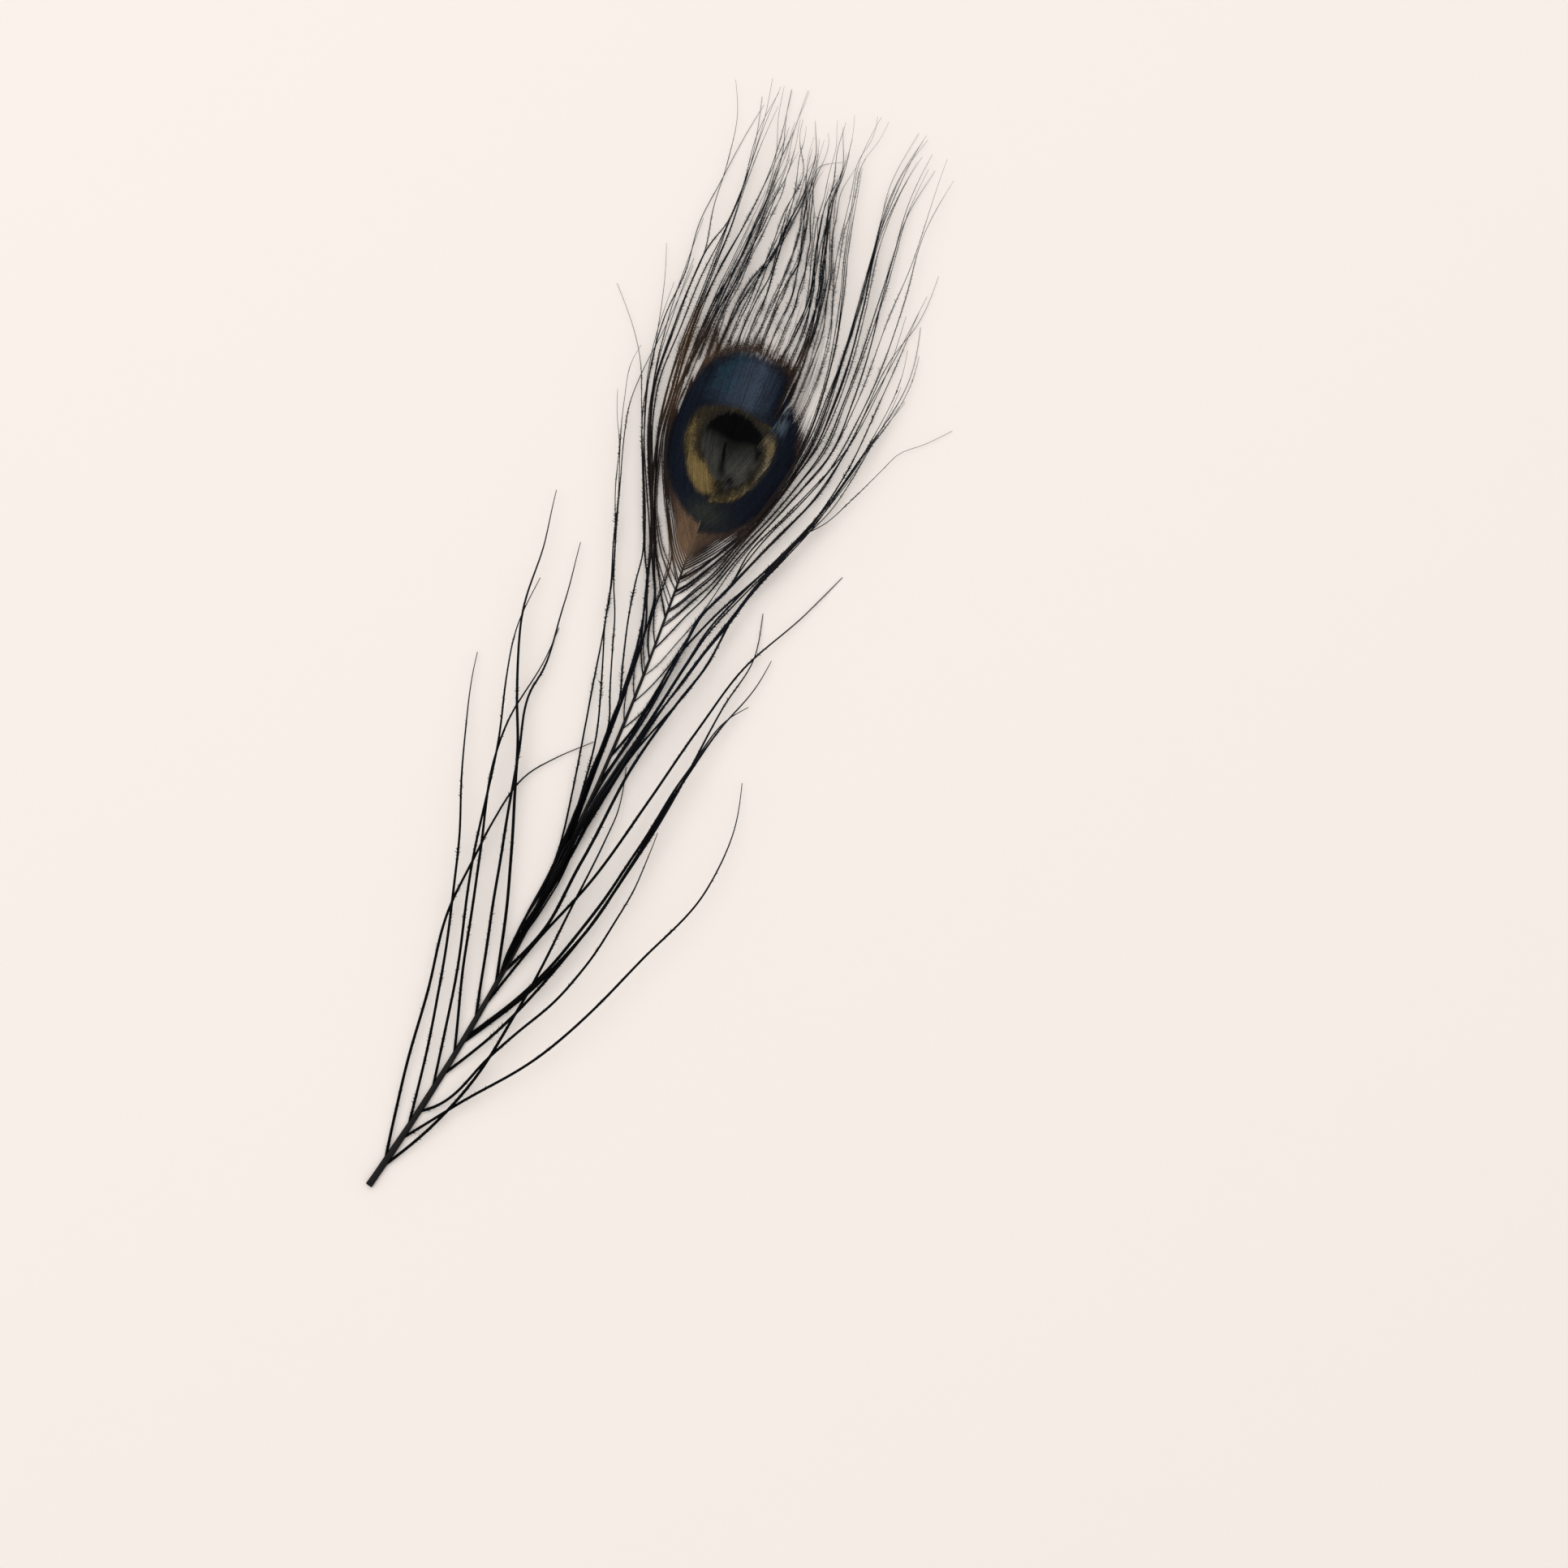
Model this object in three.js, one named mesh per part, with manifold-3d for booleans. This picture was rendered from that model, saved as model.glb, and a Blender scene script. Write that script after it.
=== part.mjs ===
// A peacock's eye feather, cut short and dyed black, lying face up on a flat surface.
// Millimetres, +Z up. The surface is z = 0 and +Y runs from the cut quill to the tips of the barbs.
// The feather is one grown piece: a bowed shaft, the closed vane of the eye, and the loose locks of
// barbs that rise from both sides of the shaft. The locks are traced in plan, measured from the
// quill's cut end, and then arched over the surface.

import * as THREE from "three";
import { mergeVertices } from "three/addons/utils/BufferGeometryUtils.js";
import Module from "manifold-3d";

// The middle of the feather's box, measured from the quill's cut end. The model's origin is there.
const middleAcross = 30.5;
const middleAlong = 175;

// The shaft bends sideways over its lower part and then runs straight up into the eye.
const shaftLength = 244;
const bowLength = 185;
const bowAcross = 24.4;
const quillWidth = 2.2;
const quillHeight = 1.8;
const shaftTipWidth = 0.4;
const shaftTaper = 0.8;
const shaftSteps = 20;
const shaftSides = 6;
const shaftFlatLength = 196;
const shaftTipLift = 2.65;

// The eye's vane is a thin crowned plate. Its edges run from the point on the shaft to the top. The
// crown follows a sine along the plate, cut off at both ends by a share of its half wave.
const vaneThickness = 0.6;
const vaneCrown = 1.7;
const vaneCrownCut = 0.15;
const vaneLiftLow = 0.7;
const vaneLiftHigh = 1.5;
const vaneColumns = 8;
const vaneRows = 14;
const vaneLeft = [[23.9, 204], [15, 216], [9.5, 229], [6.8, 243], [7.6, 257], [11, 267], [18, 274.5]];
const vaneRight = [[24.9, 204], [33, 214], [40, 226], [43.8, 240], [43, 255], [38.5, 267], [31, 274.5]];

// A lock is a flat four-sided bar that thins from its root to its tip. Every third lock comes down to
// the surface at its tip, and the two after it stay one and two steps above it.
const lockRootWidth = 1.15;
const lockTipWidth = 0.5;
const lockRootThickness = 0.6;
const lockTipThickness = 0.4;
const lockRootLift = 0.05;
const lockTipStep = 1.7;
const lockStepLength = 16;
const lockFewestSteps = 5;

// The bundle of matted barbs that hides the shaft below the place where the locks part. It swells
// from both ends to its middle as a sine.
const bundleFrom = 76;
const bundleTo = 122;
const bundleWidth = 5.2;
const bundleHeight = 1.7;
const bundleLift = 0.15;
const bundleEndShare = 0.35;
const bundleSineCut = 0.12;
const bundleColumns = 2;
const bundleSteps = 6;

// Points closer than this are one point.
const weldDistance = 1e-4;

// In each group the locks arch over the surface by archLow, and by up to three archSteps more. A lock
// leaves the shaft at "root". These, below the bundle, fan out to both sides.
const lowerLeft = {
  archLow: 3,
  archStep: 1.2,
  locks: [
    {
      root: 8,
      way: [[-1, 30], [-3.5, 60], [-5.5, 85], [-4, 102], [-2.5, 114], [2.5, 131], [8, 138], [17, 147]],
    },
    { root: 20, way: [[0.5, 58], [-4, 82], [-10, 105], [-16, 124], [-20, 140], [-24, 160]] },
    { root: 33, way: [[2.5, 70], [-4.5, 104], [-9, 138], [-13, 156], [-15, 170], [-14.5, 187]] },
    { root: 45, way: [[3.2, 76], [-3, 105], [-8, 131], [-8.3, 142], [-5, 166], [-4.5, 175]] },
    { root: 57, way: [[6.5, 88], [2, 112], [-2.5, 137], [-5.2, 155], [-4, 161], [-5, 182], [-7.2, 201]] },
    { root: 69, way: [[9, 96], [3, 118], [-3, 138], [-8.5, 152], [-15.5, 174], [-17, 198], [-19, 213]] },
  ],
};
const lowerRight = {
  archLow: 3.5,
  archStep: 1.2,
  locks: [
    { root: 6, way: [[11, 22], [19.5, 43], [24, 64], [28, 97], [30.5, 122], [31, 129], [28.5, 143]] },
    { root: 16, way: [[16, 31], [35, 55], [53, 91], [64, 117], [66, 136], [63, 150.5]] },
    { root: 25.5, way: [[10, 28.5], [21, 49], [35.5, 76], [43, 107], [44.5, 128]] },
    { root: 38, way: [[20, 56], [33, 88], [43, 127], [46.5, 147], [50, 170], [54, 187], [51.8, 200]] },
    {
      root: 49,
      way: [[24.5, 70], [34.5, 93], [41, 119], [46, 142], [51, 163], [57, 181.5], [58.3, 187.5]],
    },
    { root: 50.5, way: [[24, 71], [34, 95], [40.5, 120], [46, 146], [52.7, 168], [56.5, 172.5]] },
    { root: 61, way: [[22, 85.5], [31.5, 109], [38.5, 135], [45, 161], [51, 181.5], [64, 204], [70, 218]] },
    { root: 73, way: [[23, 90], [26.3, 112], [30.5, 143], [37, 167], [41, 179], [43.3, 195], [52, 218]] },
  ],
};

// Locks that hug the shaft as one column and then part, left and right.
const middleLeft = {
  archLow: 2.2,
  archStep: 0.9,
  locks: [
    {
      root: 84,
      way: [[18.4, 115], [13.4, 150], [8.5, 181], [2.4, 204.5], [-5.8, 235], [-7.5, 255], [-4, 290]],
    },
    { root: 88, way: [[19.3, 128], [14.6, 160], [8.8, 180.5], [2.8, 204.5], [-2.6, 219], [-12.6, 247.5]] },
    {
      root: 93,
      way: [[19.6, 138], [17.1, 162.3], [10.3, 184.5], [3, 204], [-5.2, 231], [-10.6, 257], [-9.8, 262]],
    },
    {
      root: 97,
      way: [[19.8, 132], [20.4, 172], [15.9, 196], [6.3, 220], [-4, 246.5], [-8.5, 257], [-23.5, 277]],
    },
    {
      root: 101,
      way: [[19.8, 136], [20, 160], [14.4, 184.5], [12.2, 203], [2.3, 229.5], [-6, 262], [-14, 293]],
    },
    { root: 105, way: [[20, 140], [19.7, 178], [12.6, 207.5], [0.2, 236.5], [-7, 283]] },
    { root: 109, way: [[20.2, 140], [20.2, 178], [14, 204], [5, 228], [-3.4, 258], [-4.5, 292]] },
    { root: 113, way: [[20.6, 140], [20.2, 184], [13.4, 209], [3.4, 234], [-5, 270], [-6, 304]] },
  ],
};
const middleRight = {
  archLow: 2.4,
  archStep: 0.9,
  locks: [
    {
      root: 84,
      way: [[23.6, 112], [30.2, 148], [39, 172], [44.2, 199], [56, 227.5], [64.6, 260], [69, 273]],
    },
    {
      root: 88,
      way: [[23.8, 118], [31.6, 156], [41.3, 190], [51.4, 218], [64, 240], [72.4, 258], [85, 270.5]],
    },
    { root: 92, way: [[24, 124], [31.8, 158], [43.3, 195], [53.4, 222.5], [63.2, 251], [69, 273.5]] },
    { root: 100, way: [[24.4, 128], [35.6, 171], [46, 203], [58, 235], [66.3, 283], [65.5, 288]] },
    { root: 108, way: [[25, 134], [35.2, 178], [42.6, 200], [55.8, 229], [68.5, 280], [66.3, 296]] },
    { root: 125, way: [[25, 142], [31.3, 172], [33.6, 191], [42, 210], [53, 234], [60, 268], [64, 305]] },
    {
      root: 135,
      way: [[25.6, 146], [32.9, 184], [38.9, 203], [47.5, 228], [56.6, 250], [61, 285], [60.5, 297]],
    },
    { root: 144, way: [[26.5, 153], [31.9, 180], [38.5, 195], [53.8, 224], [62, 275], [64, 300]] },
  ],
};

// Locks that frame the eye and run on to the top of the feather.
const upperLeft = {
  archLow: 1.6,
  archStep: 0.6,
  locks: [
    {
      root: 155,
      way: [[20.9, 166], [18.5, 184], [8.1, 216], [-0.9, 240], [-6.3, 272], [-6.5, 303], [-1, 342]],
    },
    {
      root: 163,
      way: [[20.9, 172], [17.6, 190], [10, 216], [0.3, 240], [-3.2, 264], [-4, 308], [-10.7, 346]],
    },
    {
      root: 170,
      way: [[20.8, 178], [19.4, 194], [8.6, 220], [-2.1, 252], [-1.4, 296], [1.6, 330], [3.8, 346]],
    },
    {
      root: 175,
      way: [[20.9, 184], [19.8, 205], [12.2, 222], [5.8, 240], [6.8, 272], [9.4, 318], [3.8, 349]],
    },
    {
      root: 180,
      way: [[20.9, 188.5], [15.5, 203.8], [5.4, 230], [-0.9, 252], [-0.5, 288], [2, 316], [-2.5, 344]],
    },
    { root: 189, way: [[20.5, 195.7], [13, 211], [3, 240], [0.7, 268], [1.9, 303], [-0.6, 350]] },
    {
      root: 194,
      way: [[20.3, 200], [14.2, 212], [3.4, 240], [2.5, 272], [2.9, 303], [2.8, 334], [3.8, 348]],
    },
    {
      root: 197.5,
      way: [[19.8, 202.9], [14.5, 212.2], [4.7, 240], [4, 272], [6.4, 305], [8, 336], [6.5, 349]],
    },
  ],
};
const upperRight = {
  archLow: 1.8,
  archStep: 0.6,
  locks: [
    { root: 153, way: [[30.2, 167.6], [34.4, 192.5], [43.4, 213], [55.2, 240.5], [61.5, 285], [65, 312]] },
    { root: 161.5, way: [[30.2, 175], [35.4, 196], [44.6, 222], [55.2, 246], [59.4, 282], [59.5, 340]] },
    { root: 170, way: [[30.2, 182.5], [35, 196], [42.6, 222], [52.5, 246], [56.2, 297], [56.5, 345]] },
    { root: 178.5, way: [[30, 191], [37.8, 210], [49.8, 240], [54.6, 266], [52, 302], [54, 341]] },
    {
      root: 185.5,
      way: [[30.5, 196], [38.8, 216.5], [48.2, 240.5], [52.4, 268], [50.8, 325], [52.5, 345]],
    },
    { root: 191, way: [[30.2, 200], [38.2, 217.5], [46.4, 240], [50.2, 264], [45.6, 315], [50, 349]] },
    {
      root: 195.5,
      way: [[30.7, 204.5], [38.4, 220], [45.2, 240.5], [48, 264], [45.2, 312], [46.8, 349.5]],
    },
    {
      root: 199.5,
      way: [[30, 206.5], [36.6, 218.6], [43.6, 239.5], [45.4, 268], [37.6, 308], [34.5, 350]],
    },
  ],
};

// Locks that come out of the eye's vane at its top.
const crest = {
  archLow: 0.8,
  archStep: 0.5,
  ways: [
    [[9.5, 262], [7.4, 278], [7.4, 292], [10.1, 312], [10.9, 336], [10.8, 350]],
    [[12, 266], [9.3, 290], [11.3, 312], [12.2, 328], [12.3, 350]],
    [[14.5, 268], [12.9, 285], [17, 300], [20.3, 325], [20.1, 333]],
    [[16.5, 270], [16, 292], [16.1, 315], [15.2, 334], [13.6, 342]],
    [[19.5, 271], [19.4, 294], [19.6, 318], [19, 337], [15.6, 343]],
    [[22.5, 272], [23, 302], [20.9, 320], [17.5, 338]],
    [[25, 272], [26.9, 293], [23, 313], [21.4, 331], [27.4, 334.5]],
    [[28, 271.5], [28.4, 293], [24.8, 315], [19.6, 333]],
    [[31, 271], [32, 288], [26.6, 316], [23.5, 345]],
    [[34.5, 262], [36, 283], [32.2, 303], [28.4, 321], [26.9, 345.5]],
    [[38, 262], [37.4, 283], [33.4, 303], [28.8, 323], [27.4, 348]],
  ],
};

const wasm = await Module();
wasm.setup();

// The shaft's centre line in plan: a parabola that meets the straight upper part smoothly.
function shaftAcross(along) {
  const left = Math.max(0, 1 - along / bowLength);
  return bowAcross * (1 - left * left);
}

function shaftWidth(along) {
  return THREE.MathUtils.lerp(quillWidth, shaftTipWidth, Math.pow(along / shaftLength, shaftTaper));
}

function shaftHeight(along) {
  return shaftWidth(along) * (quillHeight / quillWidth);
}

// The underside is flat on the surface up to the eye. From there it rises until the tip is inside
// the vane.
function shaftUnderside(along) {
  const past = Math.max(0, along - shaftFlatLength) / (shaftLength - shaftFlatLength);
  return shaftTipLift * past;
}

// A curve along the shaft between two places on it.
function shaftCurve(from, to, steps) {
  const points = [];
  for (let step = 0; step <= steps; step += 1) {
    const along = THREE.MathUtils.lerp(from, to, step / steps);
    points.push(new THREE.Vector3(shaftAcross(along), along, 0));
  }
  return new THREE.CatmullRomCurve3(points);
}

// Leaves only a geometry's positions and joins the corners that its faces share.
function weld(geometry) {
  geometry.deleteAttribute("normal");
  geometry.deleteAttribute("uv");
  return mergeVertices(geometry, weldDistance);
}

// Half a sine wave with the same share cut off at both ends.
function cutSine(cut, share) {
  return Math.sin(Math.PI * THREE.MathUtils.lerp(cut, 1 - cut, share));
}

// Carries a unit bar, whose length is its own Y, along a plan curve. The size function gives the
// width, the thickness and the height of the middle at each share of the length.
function carryAlong(bar, curve, sizeAt) {
  const position = bar.attributes.position;
  const up = new THREE.Vector3(0, 0, 1);
  for (let i = 0; i < position.count; i += 1) {
    const share = THREE.MathUtils.clamp(position.getY(i) + 0.5, 0, 1);
    const spine = curve.getPointAt(share);
    const side = curve.getTangentAt(share).cross(up).normalize();
    const size = sizeAt(share, spine);
    const across = position.getX(i) * size.width;
    const height = size.middle + position.getZ(i) * size.thickness;
    position.setXYZ(i, spine.x + side.x * across, spine.y + side.y * across, height);
  }
  return weld(bar);
}

// The shaft's bar has a flat side down.
function makeShaft() {
  const flatSide = Math.PI / shaftSides;
  const bar = new THREE.CylinderGeometry(0.5, 0.5, 1, shaftSides, shaftSteps, false, flatSide);
  bar.scale(1, 1, 1 / Math.cos(flatSide));
  return carryAlong(bar, shaftCurve(0, shaftLength, shaftSteps), (share, spine) => {
    const height = shaftHeight(spine.y);
    return { width: shaftWidth(spine.y), thickness: height, middle: shaftUnderside(spine.y) + height / 2 };
  });
}

function makeBundle() {
  const bar = new THREE.BoxGeometry(1, 1, 1, bundleColumns, bundleSteps, 1);
  return carryAlong(bar, shaftCurve(bundleFrom, bundleTo, bundleSteps), (share) => {
    const swell = THREE.MathUtils.lerp(bundleEndShare, 1, cutSine(bundleSineCut, share));
    const thickness = bundleHeight * swell;
    return { width: bundleWidth * swell, thickness, middle: bundleLift + thickness / 2 };
  });
}

// One lock along its plan points. Its middle goes from the root's height to the tip's height, with
// an arch over the surface in between.
function makeLock(plan, rootHeight, tipHeight, arch) {
  const curve = new THREE.CatmullRomCurve3(
    plan.map(([across, along]) => new THREE.Vector3(across, along, 0)),
    false,
    "centripetal",
  );
  const steps = Math.max(lockFewestSteps, Math.round(curve.getLength() / lockStepLength));
  const bar = new THREE.BoxGeometry(1, 1, 1, 1, steps, 1);
  return carryAlong(bar, curve, (share) => ({
    width: THREE.MathUtils.lerp(lockRootWidth, lockTipWidth, share),
    thickness: THREE.MathUtils.lerp(lockRootThickness, lockTipThickness, share),
    middle: THREE.MathUtils.lerp(rootHeight, tipHeight, share) + arch * Math.sin(Math.PI * share),
  }));
}

function tipHeightOf(index) {
  return lockTipThickness / 2 + lockTipStep * (index % 3);
}

function shaftLocks({ archLow, archStep, locks }) {
  return locks.map(({ root, way }, index) => {
    const halfHeight = Math.max(shaftHeight(root), lockRootThickness + 2 * lockRootLift) / 2;
    const plan = [[shaftAcross(root), root], ...way];
    const arch = archLow + archStep * (index % 4);
    return makeLock(plan, shaftUnderside(root) + halfHeight, tipHeightOf(index), arch);
  });
}

function crestLocks({ archLow, archStep, ways }) {
  return ways.map((plan, index) => {
    const arch = archLow + archStep * (index % 3);
    return makeLock(plan, vaneMiddle(...plan[0]), tipHeightOf(index), arch);
  });
}

function edgeCurve(points) {
  return new THREE.SplineCurve(points.map(([across, along]) => new THREE.Vector2(across, along)));
}

const leftEdge = edgeCurve(vaneLeft);
const rightEdge = edgeCurve(vaneRight);

// The height of the vane's middle surface: it rises along the shaft and falls off to both edges.
function vaneHeight(acrossShare, alongShare) {
  const fromMiddle = 2 * acrossShare - 1;
  const crown = vaneCrown * cutSine(vaneCrownCut, alongShare);
  const lift = THREE.MathUtils.lerp(vaneLiftLow, vaneLiftHigh, alongShare);
  return lift + crown * (1 - fromMiddle * fromMiddle);
}

function vaneMiddle(across, along) {
  const alongShare = (along - vaneLeft[0][1]) / (vaneLeft.at(-1)[1] - vaneLeft[0][1]);
  const left = leftEdge.getPoint(alongShare).x;
  const right = rightEdge.getPoint(alongShare).x;
  return vaneHeight(THREE.MathUtils.clamp((across - left) / (right - left), 0, 1), alongShare);
}

function makeVane() {
  const plate = new THREE.BoxGeometry(1, 1, 1, vaneColumns, vaneRows, 1);
  const position = plate.attributes.position;
  for (let i = 0; i < position.count; i += 1) {
    const acrossShare = position.getX(i) + 0.5;
    const alongShare = position.getY(i) + 0.5;
    const spot = leftEdge.getPoint(alongShare).lerp(rightEdge.getPoint(alongShare), acrossShare);
    const height = vaneHeight(acrossShare, alongShare) + position.getZ(i) * vaneThickness;
    position.setXYZ(i, spot.x, spot.y, height);
  }
  return weld(plate);
}

function toSolid(geometry) {
  return new wasm.Manifold(new wasm.Mesh({
    numProp: 3,
    vertProperties: Float32Array.from(geometry.attributes.position.array),
    triVerts: Uint32Array.from(geometry.index.array),
  }));
}

function toGeometry(solid) {
  const mesh = solid.getMesh();
  const geometry = new THREE.BufferGeometry();
  geometry.setAttribute("position", new THREE.BufferAttribute(Float32Array.from(mesh.vertProperties), 3));
  geometry.setIndex(new THREE.BufferAttribute(Uint32Array.from(mesh.triVerts), 1));
  geometry.computeVertexNormals();
  return geometry;
}

function makeFeather() {
  const pieces = [
    makeShaft(),
    makeBundle(),
    makeVane(),
    ...[lowerLeft, lowerRight, middleLeft, middleRight, upperLeft, upperRight].flatMap(shaftLocks),
    ...crestLocks(crest),
  ];
  const geometry = toGeometry(wasm.Manifold.union(pieces.map(toSolid)));
  geometry.translate(-middleAcross, -middleAlong, 0);
  return geometry;
}

const barbs = new THREE.MeshStandardMaterial({ color: 0x17181c, roughness: 0.62, metalness: 0.05 });
const feather = new THREE.Mesh(makeFeather(), barbs);
feather.name = "feather";

const peacockFeather = new THREE.Group();
peacockFeather.add(feather);

export default peacockFeather;
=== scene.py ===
import math

import bpy
import numpy as np
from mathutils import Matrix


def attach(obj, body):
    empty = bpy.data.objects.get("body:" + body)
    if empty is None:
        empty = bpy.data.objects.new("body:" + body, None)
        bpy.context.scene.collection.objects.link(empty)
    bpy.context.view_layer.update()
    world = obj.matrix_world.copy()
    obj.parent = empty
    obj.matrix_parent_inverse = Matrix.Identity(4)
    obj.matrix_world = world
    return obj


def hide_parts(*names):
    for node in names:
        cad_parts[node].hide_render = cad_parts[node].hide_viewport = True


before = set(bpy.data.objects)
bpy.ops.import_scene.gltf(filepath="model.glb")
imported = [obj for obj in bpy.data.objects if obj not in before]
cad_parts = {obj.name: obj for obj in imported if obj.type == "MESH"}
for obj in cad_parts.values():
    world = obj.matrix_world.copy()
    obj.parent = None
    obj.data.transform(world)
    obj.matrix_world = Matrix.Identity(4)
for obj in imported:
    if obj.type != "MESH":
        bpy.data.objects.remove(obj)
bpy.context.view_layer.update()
print("frame loaded")

# Shapes are drawn in millimetres, across and along from the quill's cut end. The row's origin is the
# middle of the drawing, on the surface. A drawn line is walked in so many fine steps per span.
drawing = dict(middle=(30.5, 175.0, 0.0), metre=0.001, finePerSpan=30)


def toRow(points):
    return (points - np.array(drawing["middle"])) * drawing["metre"]


def ease(low, high, value):
    # 0 below low, 1 above high, and the cubic 3t^2 - 2t^3 in between
    share = np.clip((value - low) / (high - low), 0.0, 1.0)
    return share * share * (3.0 - 2.0 * share)


def bump(value, centre, width):
    # a bell: e to the minus square of the distance in widths
    return np.exp(-(((value - centre) / width) ** 2))


def patch(across, along, place):
    # one bell across times one along, for a place given as (middle, width, middle, width)
    return bump(across, *place[:2]) * bump(along, *place[2:])


def smoothLine(points, count):
    # A cubic between neighbouring points, whose slope at each point is the mean of the chords on both
    # sides weighted by the other's length, walked at equal lengths.
    knots = np.asarray(points, float)
    chord = np.linalg.norm(np.diff(knots, axis=0), axis=1)
    slope = np.diff(knots, axis=0) / chord[:, None]
    inner = slope[:-1] * chord[1:, None] + slope[1:] * chord[:-1, None]
    inner /= (chord[:-1] + chord[1:])[:, None]
    tangent = np.vstack([1.5 * slope[:1] - 0.5 * inner[:1], inner, 1.5 * slope[-1:] - 0.5 * inner[-1:]])
    place = np.linspace(0.0, len(chord), drawing["finePerSpan"] * len(chord) + 1)
    span = np.minimum(place.astype(int), len(chord) - 1)
    t = (place - span)[:, None]
    step = chord[span][:, None]
    line = (
        (2 * t**3 - 3 * t**2 + 1) * knots[span]
        + (t**3 - 2 * t**2 + t) * step * tangent[span]
        + (3 * t**2 - 2 * t**3) * knots[span + 1]
        + (t**3 - t**2) * step * tangent[span + 1]
    )
    walked = np.concatenate([[0.0], np.cumsum(np.linalg.norm(np.diff(line, axis=0), axis=1))])
    wanted = np.linspace(0.0, walked[-1], count)
    return np.stack([np.interp(wanted, walked, line[:, k]) for k in range(line.shape[1])], axis=1)


def waves(rng, rows, share, tempo):
    # for each row a sum of three sines along the share, each faster and smaller than the last
    total = np.zeros((rows, len(share)))
    for k, size in enumerate((1.0, 0.5, 0.28)):
        rate = tempo * (1.9**k) * rng.uniform(0.7, 1.3, (rows, 1))
        phase = rng.uniform(0.0, 2 * math.pi, (rows, 1))
        total += size * np.sin(2 * math.pi * rate * share[None, :] + phase)
    return total


def shorten(lines, ends):
    # each line walked again at equal steps, up to its own share of itself
    many, steps = lines.shape[:2]
    place = np.linspace(0, 1, steps)[None, :] * ends[:, None] * (steps - 1)
    low = np.minimum(place.astype(int), steps - 2)
    part = (place - low)[..., None]
    row = np.arange(many)[:, None]
    return lines[row, low] * (1 - part) + lines[row, low + 1] * part


def unitTangents(lines):
    tangent = np.gradient(lines, axis=1)
    return tangent / np.linalg.norm(tangent, axis=2, keepdims=True)


def frameOf(lines):
    # unit tangents of the lines, the level direction to their right, and the one square to both
    tangent = unitTangents(lines)
    side = np.stack([tangent[..., 1], -tangent[..., 0], np.zeros(tangent.shape[:2])], axis=2)
    side /= np.linalg.norm(side, axis=2, keepdims=True)
    return tangent, side, np.cross(side, tangent)


class Shape:
    # points, triangles, one place on the bake map per point, and named numbers per point
    def __init__(self):
        self.points, self.faces, self.places, self.numbers, self.count = [], [], [], {}, 0

    def add(self, points, faces, places, **numbers):
        self.points.append(points.reshape(-1, 3))
        self.faces.append(faces.reshape(-1, 3) + self.count)
        self.places.append(places.reshape(-1, 2))
        for name, values in numbers.items():
            self.numbers.setdefault(name, []).append(np.asarray(values, float).reshape(-1))
        self.count += points.size // 3

    def piece(self, name, material, smooth=True):
        points, faces = toRow(np.concatenate(self.points)), np.concatenate(self.faces)
        places = np.concatenate(self.places)
        mesh = bpy.data.meshes.new(name)
        mesh.vertices.add(len(points))
        mesh.vertices.foreach_set("co", points.ravel())
        mesh.loops.add(faces.size)
        mesh.loops.foreach_set("vertex_index", faces.ravel().astype(np.int32))
        mesh.polygons.add(len(faces))
        mesh.polygons.foreach_set("loop_start", np.arange(0, faces.size, 3, dtype=np.int32))
        mesh.polygons.foreach_set("use_smooth", np.full(len(faces), smooth))
        mesh.update(calc_edges=True)
        layer = mesh.uv_layers.new(name="OFBake")
        layer.data.foreach_set("uv", places[faces.ravel()].ravel())
        for title, values in self.numbers.items():
            layer = mesh.attributes.new(title, "FLOAT", "POINT")
            layer.data.foreach_set("value", np.concatenate(values))
        mesh.materials.append(material)
        result = bpy.data.objects.new(name, mesh)
        bpy.context.scene.collection.objects.link(result)
        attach(result, "root")
        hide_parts("feather")
        print(f"{name}: {len(faces)} triangles")


# On the bake map each barb has a strip of its own, in which a tube or a spike stays inside these.
bakeStrip = dict(inset=0.01, half=0.42)


def tubes(shape, lines, half, thick, row, rows, sides=3, **numbers):
    # A closed tube round each line: corner k stands at the angle k/sides of a turn, half the width away
    # to the side and half the thickness up, and each end is closed by a fan.
    many, steps = lines.shape[:2]
    tangent, side, up = frameOf(lines)
    turn = 2 * math.pi * np.arange(sides) / sides + (math.pi / 2 if sides == 3 else 0.0)
    ring = (
        lines[:, :, None]
        + side[:, :, None] * (half[:, :, None] * np.cos(turn))[..., None]
        + up[:, :, None] * (0.5 * thick[:, :, None] * np.sin(turn))[..., None]
    )
    corner = np.arange(sides)
    start = np.arange(many)[:, None, None] * (steps * sides) + np.arange(steps - 1)[None, :, None] * sides
    here = start + corner
    beside = start + (corner + 1) % sides
    walls = np.concatenate([
        np.stack([here, here + sides, beside + sides], axis=3).reshape(-1, 3),
        np.stack([here, beside + sides, beside], axis=3).reshape(-1, 3),
    ])
    first = np.arange(many)[:, None] * (steps * sides)
    last = first + (steps - 1) * sides
    fan = np.arange(1, sides - 1)[None, :]
    foot = np.stack([first + 0 * fan, first + fan, first + fan + 1], axis=2).reshape(-1, 3)
    top = np.stack([last + 0 * fan, last + fan + 1, last + fan], axis=2).reshape(-1, 3)
    share = np.linspace(bakeStrip["inset"], 1 - bakeStrip["inset"], steps)
    share = np.broadcast_to(share[None, :, None], (many, steps, sides))
    height = np.broadcast_to(0.5 + bakeStrip["half"] * np.cos(turn), share.shape)
    places = np.stack([share, (row[:, None, None] + height) / rows], axis=3)
    spread = {name: np.repeat(values[:, :, None], sides, axis=2) for name, values in numbers.items()}
    shape.add(ring, np.concatenate([walls, foot, top]), places, fleck=np.full(share.shape, 0.5), **spread)


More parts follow.
